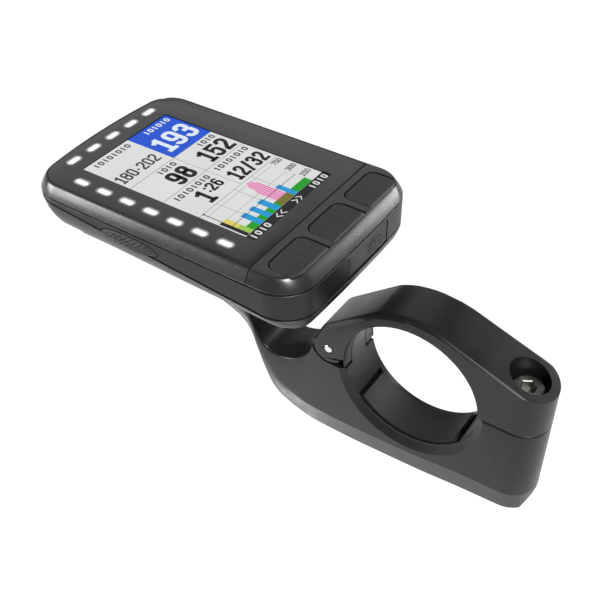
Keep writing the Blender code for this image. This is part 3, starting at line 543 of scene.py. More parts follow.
def dress_frame_nodes():
    """Every carried-over CAD node takes the finish of its slot."""
    slots = {part["node"]: part["material_slot"] for part in frame["record"]["subparts"]}
    for name, node in frame["nodes"].items():
        material = FINISHES[slots[name]]
        if not node.material_slots:
            node.data.materials.append(material)
        for entry in node.material_slots:
            entry.material = material


# ---------------------------------------------------------------- head unit: casing

# the band rolled round the top: share of the full inset against height
BAND = [(0.10, 29.68), (0.02, 29.73), (0.0, 29.86), (0.22, 30.58), (0.45, 31.20), (0.68, 31.75),
        (0.86, 32.14), (0.95, 32.31), (1.02, 32.42), (1.12, 32.49), (1.22, 32.50)]
SEAM_GAP = 0.10


def unit_rings(rows):
    """Rings of the head unit's outline from (side, rear and front inset, height, slope) rows."""
    return [sloped(unit_outline(side, rear, front), z, slope) for side, rear, front, z, slope in rows]


def inset_rings(profile):
    """Level rings of the head unit's outline from (side and front inset, rear inset, height) rows."""
    return unit_rings([(side, rear, side, z, 0.0) for side, rear, z in profile])


def band_rings():
    return inset_rings([(1.5 * share, 2.3 * share, z) for share, z in BAND])


def build_bezel():
    inside = [(1.88, 2.9, 32.44), (1.92, 2.94, 31.45), (2.6, 3.6, 31.40), (2.6, 3.6, 29.68)]
    bm = ring_mesh(band_rings() + inset_rings(inside), closed=True)
    slice_mesh(bm, (0, SPLIT_Y + SEAM_GAP, 0), (0, -1, 0))
    make("bezel", bm, "head_unit", "bezel", ["front_cover"])


def clipped(x, y, grow=0.0):
    """A point kept inside the flat top's rounded rear corners."""
    reach = Vector((abs(x) - TOP_CORNER_X, TOP_CORNER_Y - y))
    limit = TOP_CORNER + grow
    if reach.x <= 0 or reach.y <= 0 or reach.length <= limit:
        return x, y
    reach *= limit / reach.length
    return math.copysign(TOP_CORNER_X + reach.x, x), TOP_CORNER_Y - reach.y


def key_outline(place, grow):
    """A key's outline: round corners away from the rider, tight ones at the bevel."""
    half = KEY_WIDTH / 2 + grow
    x = place * KEY_PITCH
    low, high = KEY_NEAR_Y - grow * 0.4, KEY_FAR_Y + grow
    far, tight = KEY_FAR_ROUND + grow, 0.5
    points = arc(x + half - tight, low + tight, tight, -90, 0, 4)
    points += [(x + half, low + tight + (high - far - low - tight) * i / 12) for i in range(1, 12)]
    points += arc(x + half - far, high - far, far, 0, 90, 8)
    points += arc(x - half + far, high - far, far, 90, 180, 8)
    points += [(x - half, high - far + (low + tight - high + far) * i / 12) for i in range(1, 12)]
    points += arc(x - half + tight, low + tight, tight, 180, 270, 4)
    points += [(x - half + tight + (2 * half - 2 * tight) * i / 16, low) for i in range(1, 16)]
    return [clipped(px, py, grow) for px, py in points]


def build_button_panel():
    """The separate strip under the display, a little proud of the glass, with three openings."""
    crest = [(1.66, 2.5, 32.54), (1.95, 2.9, 32.64), (2.5, 3.6, PANEL_TOP_Z)]
    bm = ring_mesh(band_rings()[:-2] + inset_rings(crest))
    slice_mesh(bm, (0, SPLIT_Y - SEAM_GAP, 0), (0, 1, 0))
    panel = raw_object("button_strip", bm)
    for place in (-1, 0, 1):
        carve(panel, prism_mesh(key_outline(place, 0.22), "Z", 29.0, 40.0))
    carve(panel, prism_mesh(unit_outline(2.6, 3.2), "Z", 20.0, 30.6))
    add_piece(panel, "head_unit", "bezel", ["button_panel"], 28.0, "panel")


def hatch(x, y):
    """Height of the keys' streaked texture, 0 to 1: short slanted dashes in staggered rows."""
    row_pitch, dash_pitch = 0.62, 1.35
    slant = y + 0.35 * x + 0.12 * math.sin(1.9 * x)
    row = math.floor(slant / row_pitch)
    across = abs(slant / row_pitch - row - 0.5) * 2.0
    jitter = noise.noise(Vector((row * 7.3, x * 0.35, 0.0)))
    along = math.sin(2 * math.pi * (x / dash_pitch + 0.5 * row + 0.5 * jitter))
    return max(0.0, along + 0.35) / 1.35 * max(0.0, 1.0 - across ** 2)


def clamped(value):
    return min(max(value, 0.0), 1.0)


def corner_draw(radius, depth):
    """How far a round corner draws in, depth of the way past its start."""
    return radius - math.sqrt(max(0.0, radius ** 2 - max(0.0, depth) ** 2))


def build_key(name, place):
    """A domed rubber key whose top carries the raised hatch."""
    half = KEY_WIDTH / 2
    length = KEY_FAR_Y - KEY_NEAR_Y
    relief_height = 0.13

    def surface(u, v):
        y = KEY_NEAR_Y + v * length
        across = u * 2 - 1
        draw = corner_draw(KEY_FAR_ROUND, y - (KEY_FAR_Y - KEY_FAR_ROUND))
        draw += corner_draw(KEY_NEAR_ROUND, KEY_NEAR_Y + KEY_NEAR_ROUND - y)
        x, y = clipped(place * KEY_PITCH + across * (half - 0.02 - draw), y)
        edge = min(half - abs(across) * half, (1 - abs(2 * v - 1)) * length / 2)
        dome = 0.45 * (1.0 - min(edge / 0.8, 1.0)) ** 2 + 0.1 * across ** 2
        relief = relief_height * hatch(x, y) * clamped((edge - 0.45) / 0.4)
        return x, y, KEY_TOP_Z - relief_height - dome + relief

    key = slab_mesh(surface, 92, 56, 2, 31.0)
    make(f"key_{name}", key, f"{name}_key", "keys", [f"button_{name}"], 50.0)


def side_openings():
    """Throwaway bodies for the openings in the casing walls."""
    shapes = []
    for _, side, y, half in SIDE_KEYS:
        outline = ellipse(y, SIDE_KEY_Z, half + 0.25, SIDE_KEY_RISE + 0.25)
        shapes.append(prism_mesh(outline, "X", *sorted((side * 20, side * 30))))
    shapes.append(prism_mesh(rounded_rect(3.3, 25.45, 16.8, 6.3, 0.5), "Y", 10, 20.4))
    return shapes


def build_mid_frame():
    lip, wall = SEAM_Z - 0.42, 1.4
    rings = unit_rings([
        (0.10, 0.10, 0.10, PART_Z + 0.24, PART_SLOPE),
        (0.0, 0.0, 0.0, PART_Z + 0.34, PART_SLOPE),
        (0.0, 0.0, 0.0, SEAM_Z - 0.55, 0.0),
        (0.10, 0.10, 0.10, SEAM_Z - 0.44, 0.0),
        (wall, wall, wall, lip, 0.0),
        (wall, wall, wall, PART_Z + 0.22, PART_SLOPE)])
    body = raw_object("mid_casing", ring_mesh(rings, closed=True))
    carve(body, *side_openings())
    add_piece(body, "head_unit", "casing", ["mid_frame"])


def build_rear_case():
    rings = unit_rings([
        (7.4, 3.8, 9.5, BELLY_Z, 0.0),
        (6.6, 3.2, 8.6, BELLY_Z + 0.06, 0.0),
        (5.5, 2.4, 7.4, BELLY_Z + 0.34, 0.0),
        (3.6, 1.55, 5.4, RIM_Z - 2.6, RIM_SLOPE),
        (2.2, 0.95, 3.4, RIM_Z - 1.6, RIM_SLOPE),
        (1.15, 0.5, 2.0, RIM_Z - 0.5, RIM_SLOPE + 0.012),
        (0.45, 0.2, 0.9, RIM_Z + 0.4, RIM_SLOPE + 0.026),
        (0.06, 0.04, 0.2, RIM_Z + 1.0, RIM_SLOPE + 0.045),
        (0.0, 0.0, 0.0, PART_Z - 0.28, PART_SLOPE),
        (0.10, 0.10, 0.10, PART_Z - 0.18, PART_SLOPE)])
    body = raw_object("rear_casing", ring_mesh(rings))
    carve(body, case_hollow())
    socket = [(14.5, 10), (14.5, BELLY_Z + 0.1), (14.1, BELLY_Z + 0.5), (14.0, 21.6)]
    carve(body, rod_mesh("Z", (0, TURN_Y), socket, 96))
    for number, centre in enumerate(CASE_SCREWS, 1):
        seat = BELLY_Z + (REAR_SEAT if centre[1] < TURN_Y else FRONT_SEAT)
        carve(body, hole_mesh("Z", centre, 1.9, 10, seat, 32), hole_mesh("Z", centre, 1.1, 10, 26, 24))
        build_case_screw(number, centre, seat - 1.5)
    carve(body, *side_openings())
    add_piece(body, "head_unit", "casing", ["rear_case"])


def case_hollow():
    """Throwaway body of the room in the rear case; the turn socket and the screw posts stay out of it."""
    hollow = raw_object("hollow", ring_mesh(unit_rings([
        (8.2, 6.0, 10.4, BELLY_Z + 1.5, 0.0),
        (4.2, 2.6, 6.0, RIM_Z - 0.2, RIM_SLOPE),
        (2.0, 1.7, 2.9, RIM_Z + 1.3, 0.05),
        (1.6, 1.6, 1.6, 33.0, 0.0)])))
    carve(hollow, hole_mesh("Z", (0, TURN_Y), 15.4, BELLY_Z - 2, 22.8, 96))
    for centre in CASE_SCREWS:
        carve(hollow, hole_mesh("Z", centre, 2.6, BELLY_Z - 2, 23.0, 24))
    room = bmesh.new()
    room.from_mesh(hollow.data)
    bpy.data.objects.remove(hollow, do_unlink=True)
    return room


def build_case_screw(number, centre, low):
    """A small screw with a cross recess, its head's face at height low."""
    head, shank, shoulder = 1.5, 0.78, low + 1.2
    tip = 25.2
    profile = [(head - 0.2, low), (head, low + 0.15), (head, shoulder), (shank, shoulder),
               (shank, tip), (0.5, tip + 0.35)]
    screw = raw_object(f"case_fastener_{number}", rod_mesh("Z", centre, profile, 48))
    for width, height in ((1.7, 0.42), (0.42, 1.7)):
        carve(screw, prism_mesh(rounded_rect(*centre, width, height, 0.1), "Z", low - 1, low + 0.7))
    add_piece(screw, "head_unit", "screw_metal", [f"case_screw_{number}"], 30.0)


# ---------------------------------------------------------------- head unit: display

def led_outlines(grow):
    """Outlines of the indicators above the display and beside it."""
    length, width = 3.1 + 2 * grow, 1.15 + 2 * grow
    radius = width / 2 - 0.001
    middle = (LED_TOP_COUNT - 1) / 2
    top = [rounded_rect((i - middle) * LED_TOP_PITCH, LED_TOP_Y, length, width, radius)
           for i in range(LED_TOP_COUNT)]
    side = [rounded_rect(LED_SIDE_X, LED_SIDE_Y - i * LED_SIDE_PITCH, width, length, radius)
            for i in range(LED_SIDE_COUNT)]
    return top, side


def build_display():
    side = 2.0
    limit = SPLIT_Y + 0.35
    outer = [(HALF - side, limit)]
    outer += [(x, y) for x, y in unit_outline(side) if y > limit]
    outer.append((side - HALF, limit))
    top, left = led_outlines(0.06)
    window = rounded_rect(0, (LCD_LOW + LCD_HIGH) / 2, 2 * LCD_X + 0.3, LCD_HIGH - LCD_LOW + 0.3, 0.4)
    make("cover_glass", plate_mesh(outer, top + left + [window], 31.5, TOP_Z), "head_unit",
         "display_glass", ["display_window"], 40.0)
    top, left = led_outlines(0.0)
    for name, loops, node in (("indicators_top", top, "light_guide_top"),
                              ("indicators_left", left, "light_guide_left")):
        caps = []
        for loop in loops:
            caps.append(ring_mesh([level(loop, 30.0), level(loop, 32.44),
                                   level(shrink(loop, 0.1), 32.52), level(shrink(loop, 0.28), 32.56)]))
        make(name, merged(caps), "head_unit", "light_guide", [node], 60.0)


def layer_base(order):
    """Height of a layer of the picture; each later layer lies a hair above the one before."""
    return LCD_Z - 0.10 + LAYER * order


def picture_layer(name, shapes, tint, order):
    """Flat shapes of one colour on the display."""
    low = layer_base(order)
    solids = [prism_mesh(shape, "Z", low, low + LAYER) for shape in shapes]
    make(name, merged(solids), "head_unit", "display", finish=tint)


def ribbon(points, width, closed=False):
    """Quads of a flat stroke along a polyline, as pairs of left and right points."""
    pairs = []
    count = len(points)
    for i, point in enumerate(points):
        here = Vector(point)
        before = Vector(points[i - 1]) if i or closed else None
        after = Vector(points[(i + 1) % count]) if i < count - 1 or closed else None
        first = (here - before).normalized() if before is not None else (after - here).normalized()
        second = (after - here).normalized() if after is not None else first
        along = (first + second).normalized()
        reach = width / 2 / max(along.dot(first), 0.5)
        pairs.append(((here.x - along.y * reach, here.y + along.x * reach),
                      (here.x + along.y * reach, here.y - along.x * reach)))
    if closed:
        pairs.append(pairs[0])
    return pairs


def numeral(char, w, t):
    """Strokes of one numeral in a box w wide and 1 high: (points, closed) pairs."""
    h = t / 2
    left, right, low, top = h, w - h, h, 1 - h
    r = (right - left) * 0.42
    over = arc(left + r, top - r, r, 180, 90, 5) + arc(right - r, top - r, r, 90, 0, 5)
    under = arc(right - r, low + r, r, 0, -90, 5) + arc(left + r, low + r, r, 270, 180, 5)
    waist = 0.54
    if char == "0":
        return [(oblong(left, low, right, top, r), True)]
    if char == "1":
        stem = w * 0.56
        return [([(stem, low), (stem, 1)], False), ([(0.03, low), (w, low)], False),
                ([(stem, top - 0.02), (0.02, top - 0.15)], False)]
    if char == "2":
        return [([(left, 0.7)] + over + [(right, 0.66), (right - 0.03, 0.56), (left, 0.2), (left, low)],
                 False), ([(left - h, low), (w, low)], False)]
    if char == "3":
        nib = (right - left) * 0.25
        return [([(left, 0.72)] + over + [(right, waist + 0.1), (right - nib, waist),
                                          (left + nib, waist)], False),
                ([(left + nib, waist), (right - nib, waist), (right, waist - 0.1)] + under
                 + [(left, 0.28)], False)]
    if char == "5":
        bowl = arc(right - r, 0.62 - r, r, 90, 0, 5)
        return [([(w, top), (left, top), (left, 0.5), (left + 0.06, 0.6)] + bowl + under
                 + [(left, 0.28)], False)]
    if char == "6":
        return [(oblong(left, low, right, 0.58, r), True), ([(left, 0.3)] + over + [(right, 0.76)], False)]
    if char == "7":
        return [([(0, top), (right, top), (w * 0.36, 0)], False)]
    if char == "8":
        return [(oblong(left, low, right, waist, r), True), (oblong(left, waist, right, top, r), True)]
    if char == "9":
        turned = []
        for points, closed in numeral("6", w, t):
            turned.append(([(w - x, 1 - y) for x, y in points], closed))
        return turned
    if char == ":":
        return [([(w / 2, 0.12), (w / 2, 0.12 + t)], False), ([(w / 2, 0.62), (w / 2, 0.62 + t)], False)]
    if char == "/":
        return [([(0.06, -0.04), (w - 0.06, 1.02)], False)]
    if char == "-":
        return [([(0.06, 0.42), (w - 0.06, 0.42)], False)]
    raise ValueError(char)


# widths of the narrow characters beside a full numeral, and the picture layer that text lies in
SHARES = {"1": 0.86, ":": 0.4, "/": 0.8, "-": 0.6}
TEXT_ORDER = 3


def stroke_mesh(strokes, place, order):
    """Flat strokes raised a hair over the display; place turns stroke points into millimetres."""
    bm = bmesh.new()
    base = layer_base(order)
    top = base + LAYER
    for pairs in strokes:
        rows = []
        for left, right in pairs:
            quad = []
            for (x, y), z in ((left, base), (right, base), (right, top), (left, top)):
                quad.append(bm.verts.new(Vector((*place(x, y), z)) * MM))
            rows.append(quad)
        bridge(bm, rows)
        bm.faces.new(rows[0])
        bm.faces.new(rows[-1])
    bmesh.ops.remove_doubles(bm, verts=bm.verts, dist=1e-8)
    bmesh.ops.recalc_face_normals(bm, faces=bm.faces)
    return bm


def figures(name, text, low, high, tint, weight=0.16):
    """Condensed numerals drawn as strokes to fill a box from low to high, in millimetres."""
    height = high[1] - low[1]
    gap = 0.075
    shares = [SHARES.get(char, 1.0) for char in text]
    unit = ((high[0] - low[0]) / height - gap * (len(text) - 1)) / sum(shares)
    strokes = []
    x = 0.0
    for char, share in zip(text, shares):
        for points, closed in numeral(char, unit * share, weight):
            strokes.append(ribbon([(x + px, py) for px, py in points], weight, closed))
        x += unit * share + gap
    bm = stroke_mesh(strokes, lambda px, py: (low[0] + px * height, low[1] + py * height), TEXT_ORDER)
    make(name, bm, "head_unit", "display", finish=tint)


def caption(name, right, low, count, tint, height=1.75, pitch=1.5):
    """A neutral stand-in for a caption: alternate small rings and uprights, with no lettering."""
    strokes = []
    for i in range(count):
        x = right - i * pitch
        if i % 2:
            strokes.append(ribbon([(x - 0.62, low), (x - 0.62, low + height)], 0.42))
        else:
            loop = oblong(x - 1.02, low + 0.19, x - 0.19, low + height - 0.19, 0.3)
            strokes.append(ribbon(loop, 0.38, True))
    bm = stroke_mesh(strokes, lambda px, py: (px, py), TEXT_ORDER)
    make(name, bm, "head_unit", "display", finish=tint)


def build_picture():
    lcd = prism_mesh(bar(-LCD_X, LCD_LOW, LCD_X, LCD_HIGH), "Z", 30.5, LCD_Z - 0.10)
    make("lcd_back", lcd, "head_unit", "display", ["lcd_panel"], finish="ink")
    split, foot = 0.65, 36.6
    upper, middle, lower = 68.95, 59.25, 49.15
    picture_layer("picture_ground", [bar(-LCD_X, foot, LCD_X, LCD_HIGH)], "white", 0)
    picture_layer("picture_field", [bar(split, upper, LCD_X, LCD_HIGH)], "blue", 1)
    rules = [bar(-LCD_X, y - 0.09, LCD_X, y + 0.09) for y in (upper, middle, lower)]
    rules.append(bar(split - 0.07, lower, split + 0.07, upper))
    picture_layer("picture_rules", rules, "rule", 1)
    for name, text, low, high, tint, weight in (
            ("target", "180-202", (-13.95, 71.15), (-0.85, 74.75), "grey_ink", 0.15),
            ("power", "193", (2.1, 71.0), (13.7, 78.2), "pale", 0.17),
            ("cadence", "98", (-7.2, 59.95), (-0.8, 65.75), "ink", 0.19),
            ("pulse", "152", (4.1, 59.95), (13.6, 65.75), "ink", 0.18),
            ("minute", "1", (-8.95, 50.05), (-6.2, 55.7), "ink", 0.18),
            ("second", ":26", (-5.7, 52.45), (-0.8, 56.0), "ink", 0.18),
            ("count", "12/32", (1.75, 50.05), (13.6, 54.75), "ink", 0.18)):
        figures(f"figures_{name}", text, low, high, tint, weight)
    for name, end, low, count, tint in (
            ("target", -0.85, 80.75, 8, "grey_ink"), ("power", 13.6, 80.7, 6, "pale"),
            ("cadence", -0.85, 66.5, 4, "grey_ink"), ("pulse", 13.6, 66.5, 4, "grey_ink"),
            ("lap", -0.85, 56.55, 8, "grey_ink"), ("lap_count", 13.6, 56.55, 8, "grey_ink")):
        caption(f"caption_{name}", end, low, count, tint)
    build_chart(foot, lower)
    build_key_strip()


def build_chart(foot, head):
    """The small chart of effort blocks between its foot and head lines, with its scale."""
    left, right, block_top = -13.1, 10.6, 38.75
    rules = [bar(-13.4, y - 0.06, right, y + 0.06) for y in (47.75, 43.65)]
    rules += [bar(x - 0.06, foot, x + 0.06, head) for x in (-8.3, -1.95, 4.4)]
    picture_layer("chart_rules", rules, "rule", 1)
    picture_layer("chart_band", [bar(-11.6, foot, 10.65, block_top)], "green", 2)
    bars = [bar(x0, foot, x1, 41.9) for x0, x1 in ((-9.4, -7.7), (-6.4, -4.8), (-3.4, -1.6), (3.6, 5.1))]
    picture_layer("chart_bars", bars, "cyan", 3)
    peak_foot = foot + 2.1
    peak = [(-0.4, peak_foot), (3.3, peak_foot), (3.2, 46.5), (2.4, 48.2), (1.1, 48.2), (0.4, 46.5),
            (-0.3, 43.6)]
    picture_layer("chart_peak", [peak], "rose", 2)
    stripes = [bar(0.7 * i, peak_foot, 0.7 * i + 0.34, top)
               for i, top in enumerate((44.6, 47.4, 48.2, 48.0, 46.6))]
    picture_layer("chart_stripes", stripes, "pink", 3)
    picture_layer("chart_base", [bar(-0.9, foot, 3.5, block_top)], "olive", 3)
    picture_layer("chart_start", [bar(left, 39.9, -11.6, 43.9)], "yellow", 2)
    picture_layer("chart_start_low", [bar(left, foot, -11.6, 39.9)], "lime", 2)
    marks = [bar(-14.15, foot, left, 43.9), bar(-13.3, 43.9, left, 49.1),
             [(-13.65, 49.1), (-13.2, 48.5), (-12.75, 49.1)], bar(left, 41.1, right, 41.24)]
    picture_layer("chart_marks", marks, "ink", 4)
    for name, text, y in (("high", "750", 47.0), ("mid", "300", 42.95), ("low", "150", 38.95)):
        figures(f"scale_{name}", text, (10.95, y), (13.95, y + 1.6), "grey_ink")


def build_key_strip():
    """Double arrows and two stand-in captions over the keys, under the chart."""
    arrows = []
    rise, reach, thick = 0.85, 0.5, 0.42
    for x, way in ((-4.35, -1), (-2.75, -1), (1.75, 1), (3.35, 1)):
        outline = [(0, rise), (2 * reach, 0), (0, -rise), (thick, -rise), (2 * reach + thick, 0),
                   (thick, rise)]
        arrow = [(x + way * (along - reach), 35.15 + up) for along, up in outline]
        arrows.append(arrow if way > 0 else arrow[::-1])
    picture_layer("strip_arrows", arrows, "white", 3)
    caption("caption_left_key", -8.0, 34.35, 4, "white", 1.7, 1.62)
    caption("caption_right_key", 14.1, 34.35, 4, "white", 1.7, 1.62)


# ---------------------------------------------------------------- side keys and port cover

def knurl(y, z):
    """Height of a field of small pyramids set on the diagonal."""
    slopes = ((y + 1.4 * z) / 1.5, (y - 1.4 * z) / 1.5)
    return min(1 - abs(2 * (way - math.floor(way)) - 1) for way in slopes)


def build_side_key(name, side, y0, half_length):
    """A lens-shaped key in a side wall, crowned and covered in pyramids."""
    around, rings = 260, 22
    wall, crown_height, root = 24.72, 0.30, 22.4
    turns = [2 * math.pi * i / around for i in range(around)]
    lens = [(half_length * math.cos(turn), SIDE_KEY_RISE * math.sin(turn)) for turn in turns]
    rows = [[(side * root, y0 + y, SIDE_KEY_Z + z) for y, z in lens]]
    for k in range(rings + 1):
        share = 1.0 - k / rings * 0.985
        row = []
        for across, rise in lens:
            y, z = y0 + share * across, SIDE_KEY_Z + share * rise
            crown = wall + crown_height * (1 - share ** 2.5)
            relief = 0.34 * knurl(y, z) * clamped((0.95 - share) / 0.1)
            row.append((side * (crown + relief), y, z))
        rows.append(row)
    make(f"side_key_{name}", ring_mesh(rows), f"{name}_key", "keys", [f"{name}_button"], 60.0)


def build_usb_cover():
    """The port's rubber door, with a finger patch of raised dashes on its outer face."""
    height = DOOR_HIGH - DOOR_LOW
    columns, rows, lip_rows = 158, 56, 8

    def surface(u, v):
        x = DOOR_X + (u - 0.5) * DOOR_WIDTH
        z = DOOR_LOW + v * height
        edge = min(min(u, 1 - u) * DOOR_WIDTH, min(v, 1 - v) * height)
        y = 17.07 + 0.25 * (1.0 - min(edge / 0.35, 1.0)) ** 2
        lip = max(0.0, 1 - v * rows / lip_rows)
        y += 0.6 * (1 - math.sqrt(1 - lip ** 2))
        patch = clamped((x - 3.0) / 0.4) * clamped((9.6 - x) / 0.4)
        patch *= clamped((z - 23.4) / 0.3) * clamped((27.4 - z) / 0.3)
        return x, y - 0.22 * hatch(x * 1.1, z * 1.1) * patch, z

    make("port_door", slab_mesh(surface, columns, rows, 1, 18.6), "usb_door", "seals", ["usb_cover"], 50.0,
         "keys")


# ---------------------------------------------------------------- mount

# the arm from clamp to plate, a row for each cross-section: its inner and outer points (y, z), half
# width, how far the outer corners draw in and reach back, and how round they are
ARM_ROWS = [
    ((-14.0, 0.0), (-14.0, -25.9), 6.45, 1.5, 6.6, 0.0),
    ((0.0, 0.0), (-5.0, -26.75), 6.45, 1.5, 6.4, 0.0),
    ((8.0, 9.0), (4.0, -27.2), 6.45, 1.5, 6.3, 0.0),
    ((12.0, 11.2), (14.0, -27.6), 6.45, 1.5, 6.3, 0.0),
    ((16.8, 7.0), (20.0, -27.6), 6.45, 1.5, 6.3, 0.0),
    ((21.0, 5.2), (24.0, -27.5), 6.45, 1.5, 6.3, 0.0),
    ((23.9, 3.9), (26.0, -27.4), 6.45, 1.5, 6.4, 0.0),
    ((25.2, 1.2), (27.8, -27.4), 6.45, 1.7, 6.6, 0.05),
    ((26.2, -2.2), (30.0, -27.3), 6.45, 2.0, 7.0, 0.25),
    ((28.2, -5.0), (33.8, -26.9), 6.45, 2.6, 8.0, 0.5),
    ((31.2, -7.4), (37.2, -25.4), 6.45, 3.4, 8.0, 0.8),
    ((35.2, -8.7), (39.8, -22.2), 6.45, 4.2, 8.0, 1.0),
    ((38.8, -7.9), (41.6, -17.7), 6.45, 5.0, 7.0, 1.0),
    ((41.0, -5.2), (43.1, -12.4), 6.6, 5.4, 6.0, 1.0),
    ((42.0, -1.5), (44.5, -6.9), 7.2, 5.8, 5.6, 1.0),
    ((42.5, 3.0), (47.2, -1.7), 8.4, 6.2, 5.6, 1.0),
    ((43.2, 7.6), (51.0, 3.4), 10.2, 6.0, 5.4, 1.0),
    ((44.6, 11.4), (53.2, 8.0), 12.2, 4.6, 4.4, 1.0),
    ((47.2, 14.0), (55.2, 11.0), 13.8, 3.0, 2.4, 1.0),
    ((50.6, 14.7), (57.6, 12.2), 14.7, 1.6, 1.4, 1.0),
]


def section(inner, outer, half, draw, back, nose):
    """One cross-section of the arm; extra points beside the outer creases keep them crisp."""
    start = Vector((0.0, *inner))
    along = Vector((0.0, *outer)) - start
    length = along.length
    along.normalize()
    soft = min(0.7, 0.6 * half)
    crisp = min(0.3, 0.4 * (half - draw))
    corners = [
        ((half, soft), (half - soft, 0.0), 1.0, 9),
        ((soft - half, 0.0), (-half, soft), 1.0, 9),
        ((-half, length - back), (draw - half, length), nose, 12),
        ((half - draw, length), (half, length - back), nose, 12),
    ]
    side_edge = max(length - back - 0.3, 0.5 * (0.7 + length - back))
    profile = []
    for index, (a, b, crown, steps) in enumerate(corners):
        if index == 2:
            profile.append((-half, side_edge))
        if index == 3:
            profile.append((half - draw - crisp, length))
        for i in range(steps + 1):
            t = i / steps
            s, c = math.sin(t * math.pi / 2), math.cos(t * math.pi / 2)
            weight_x = 1 - c if index in (0, 2) else s
            weight_v = s if index in (0, 2) else 1 - c
            x = a[0] + (b[0] - a[0]) * (t + (weight_x - t) * crown)
            v = a[1] + (b[1] - a[1]) * (t + (weight_v - t) * crown)
            profile.append((x, v))
        if index == 2:
            profile.append((draw - half + crisp, length))
        if index == 3:
            profile.append((half, side_edge))
    return [tuple(start + along * v + Vector((x, 0.0, 0.0))) for x, v in profile]


def spline(values, t):
    """Catmull-Rom through a list of equal-length number lists."""
    i = min(int(t), len(values) - 2)
    f = t - i
    picks = [values[min(max(i + k, 0), len(values) - 1)] for k in (-1, 0, 1, 2)]
    result = []
    for a, b, c, d in zip(*picks):
        result.append(0.5 * (2 * b + (c - a) * f + (2 * a - 5 * b + 4 * c - d) * f * f
                             + (3 * b - a - 3 * c + d) * f ** 3))
    return result


def arm_rings():
    rings = []
    for i in range(15):
        angle = math.radians(89 - 89 * i / 14)
        y = BOLT_Y - CLAMP_HALF * math.sin(angle)
        half = CLAMP_HALF * math.cos(angle)
        t = 1 - math.sin(angle)
        bottom = -19.4 - 5.6 * min(t / 0.3, 1.0) ** 0.75 - 0.3 * t
        crease = max(0.3, -bottom - 18.9)
        rings.append(section((y, PARTING_Z), (y, bottom), half, min(1.5, half * 0.45), crease, 0.0))
    flat = [[*inner, *outer, *rest] for inner, outer, *rest in ARM_ROWS]
    straight, steps = 8, 5
    for row in flat[:straight]:
        row[1] = PARTING_Z if row[0] < 2 else row[1]
    rows = flat[:straight]
    for i in range(1, (len(flat) - straight) * steps + 1):
        rows.append(spline(flat, straight - 1 + i / steps))
    for row in rows:
        row[-1] = clamped(row[-1])
        rings.append(section(row[0:2], row[2:4], *row[4:]))
    for i in range(1, 17):
        y = TURN_Y + (PLATE - 0.02) * math.sin(math.radians(8 + 80 * i / 16))
        half = math.sqrt(PLATE ** 2 - (y - TURN_Y) ** 2)
        rings.append(section((y, 14.7), (y, 12.2), half, 0.8, 0.8, 1.0))
    return rings


def build_arm():
    arm = raw_object("mount_arm_shell", ring_mesh(arm_rings()))
    bevel(arm, 0.18, 24.0)
    carve(arm, hole_mesh("X", (0, 0), BORE, -9, 9, 144))
    rim = [(20.6, -8.9), (18.1, -CLAMP_HALF), (16.2, -5.3)]
    carve(arm, rod_mesh("X", (0, -0.9), rim, 144))
    room = LUG + 0.25
    for side in (-1, 1):
        low, high = sorted((side * 3.0, side * 10.0))
        carve(arm, hole_mesh("X", (PIN_Y, PIN_Z), room, low, high, 96),
              box_mesh((low, 6, PIN_Z - room), (high, PIN_Y, 20)),
              box_mesh((low, PIN_Y - 1, PIN_Z), (high, PIN_Y + room, 20)))
    carve(arm, hole_mesh("X", (PIN_Y, PIN_Z), PIN_HOLE, -10, 10), liner_pocket(-141, -37),
          hole_mesh("Z", (0, BOLT_Y), 3.6, -9, 5))
    for y in (TURN_Y - 5, TURN_Y + 5):
        carve(arm, hole_mesh("Z", (0, y), 1.4, 9, 18, 32),
              rod_mesh("Z", (0, y), [(2.3, 5), (2.3, 12.3), (2.2, 12.4), (2.2, 13.85)], 48))
    add_piece(arm, "mount", "mount", ["mount_arm"], 11.5)


def liner_pocket(start, end):
    """Throwaway body of the pocket for a bore liner between two angles."""
    inner, outer, half = LINER_POCKET
    return prism_mesh(ring_sector(inner, outer, start, end), "X", -half, half)


def strap_path():
    """Side outline (y, z) of the strap with how much of a bevel each point carries."""
    points = [(p, 0.35) for p in arc(PIN_Y, PIN_Z, LUG, -160, 14, 30)]
    points += [(p, 0.7 + 0.1 * i) for i, p in enumerate(arc(PIN_Y, PIN_Z, LUG, 18, 30, 3))]
    points += [((23.1, 6.75), 1.2), ((22.5, 7.5), 1.25), ((21.9, 8.1), 1.25), ((16.0, 12.65), 1.25)]
    points += [(p, 1.25) for p in arc(0, 0, STRAP_CROWN, 61, 84, 14)]
    points += [(p, 0.9) for p in arc(0, 0, STRAP_CROWN, 86, 98, 6)]
    points += [((STRAP_REAR_Y, STRAP_REAR_Z), 0.7)]
    rear_y = BOLT_Y - CLAMP_HALF - 1
    for y in (-8.0, -13.0):
        points.append(((y, STRAP_REAR_Z + STRAP_REAR_SLOPE * (y - STRAP_REAR_Y)), 0.4))
    rear_z = STRAP_REAR_Z + STRAP_REAR_SLOPE * (rear_y - STRAP_REAR_Y)
    points += [((rear_y, rear_z), 0.3), ((rear_y, PARTING_Z + 0.14), 0.08)]
    bore_start = 180 - math.degrees(math.asin((PARTING_Z + 0.14) / BORE))
    points += [(p, 0.1) for p in arc(0, 0, BORE, bore_start, -8, 72)]
    return points


def inward(path, i, amount):
    """Point i of a closed (y, z) outline moved inwards."""
    here = Vector(path[i])
    along = (Vector(path[(i + 1) % len(path)]) - Vector(path[i - 1])).normalized()
    return (here.x - along.y * amount, here.y + along.x * amount)


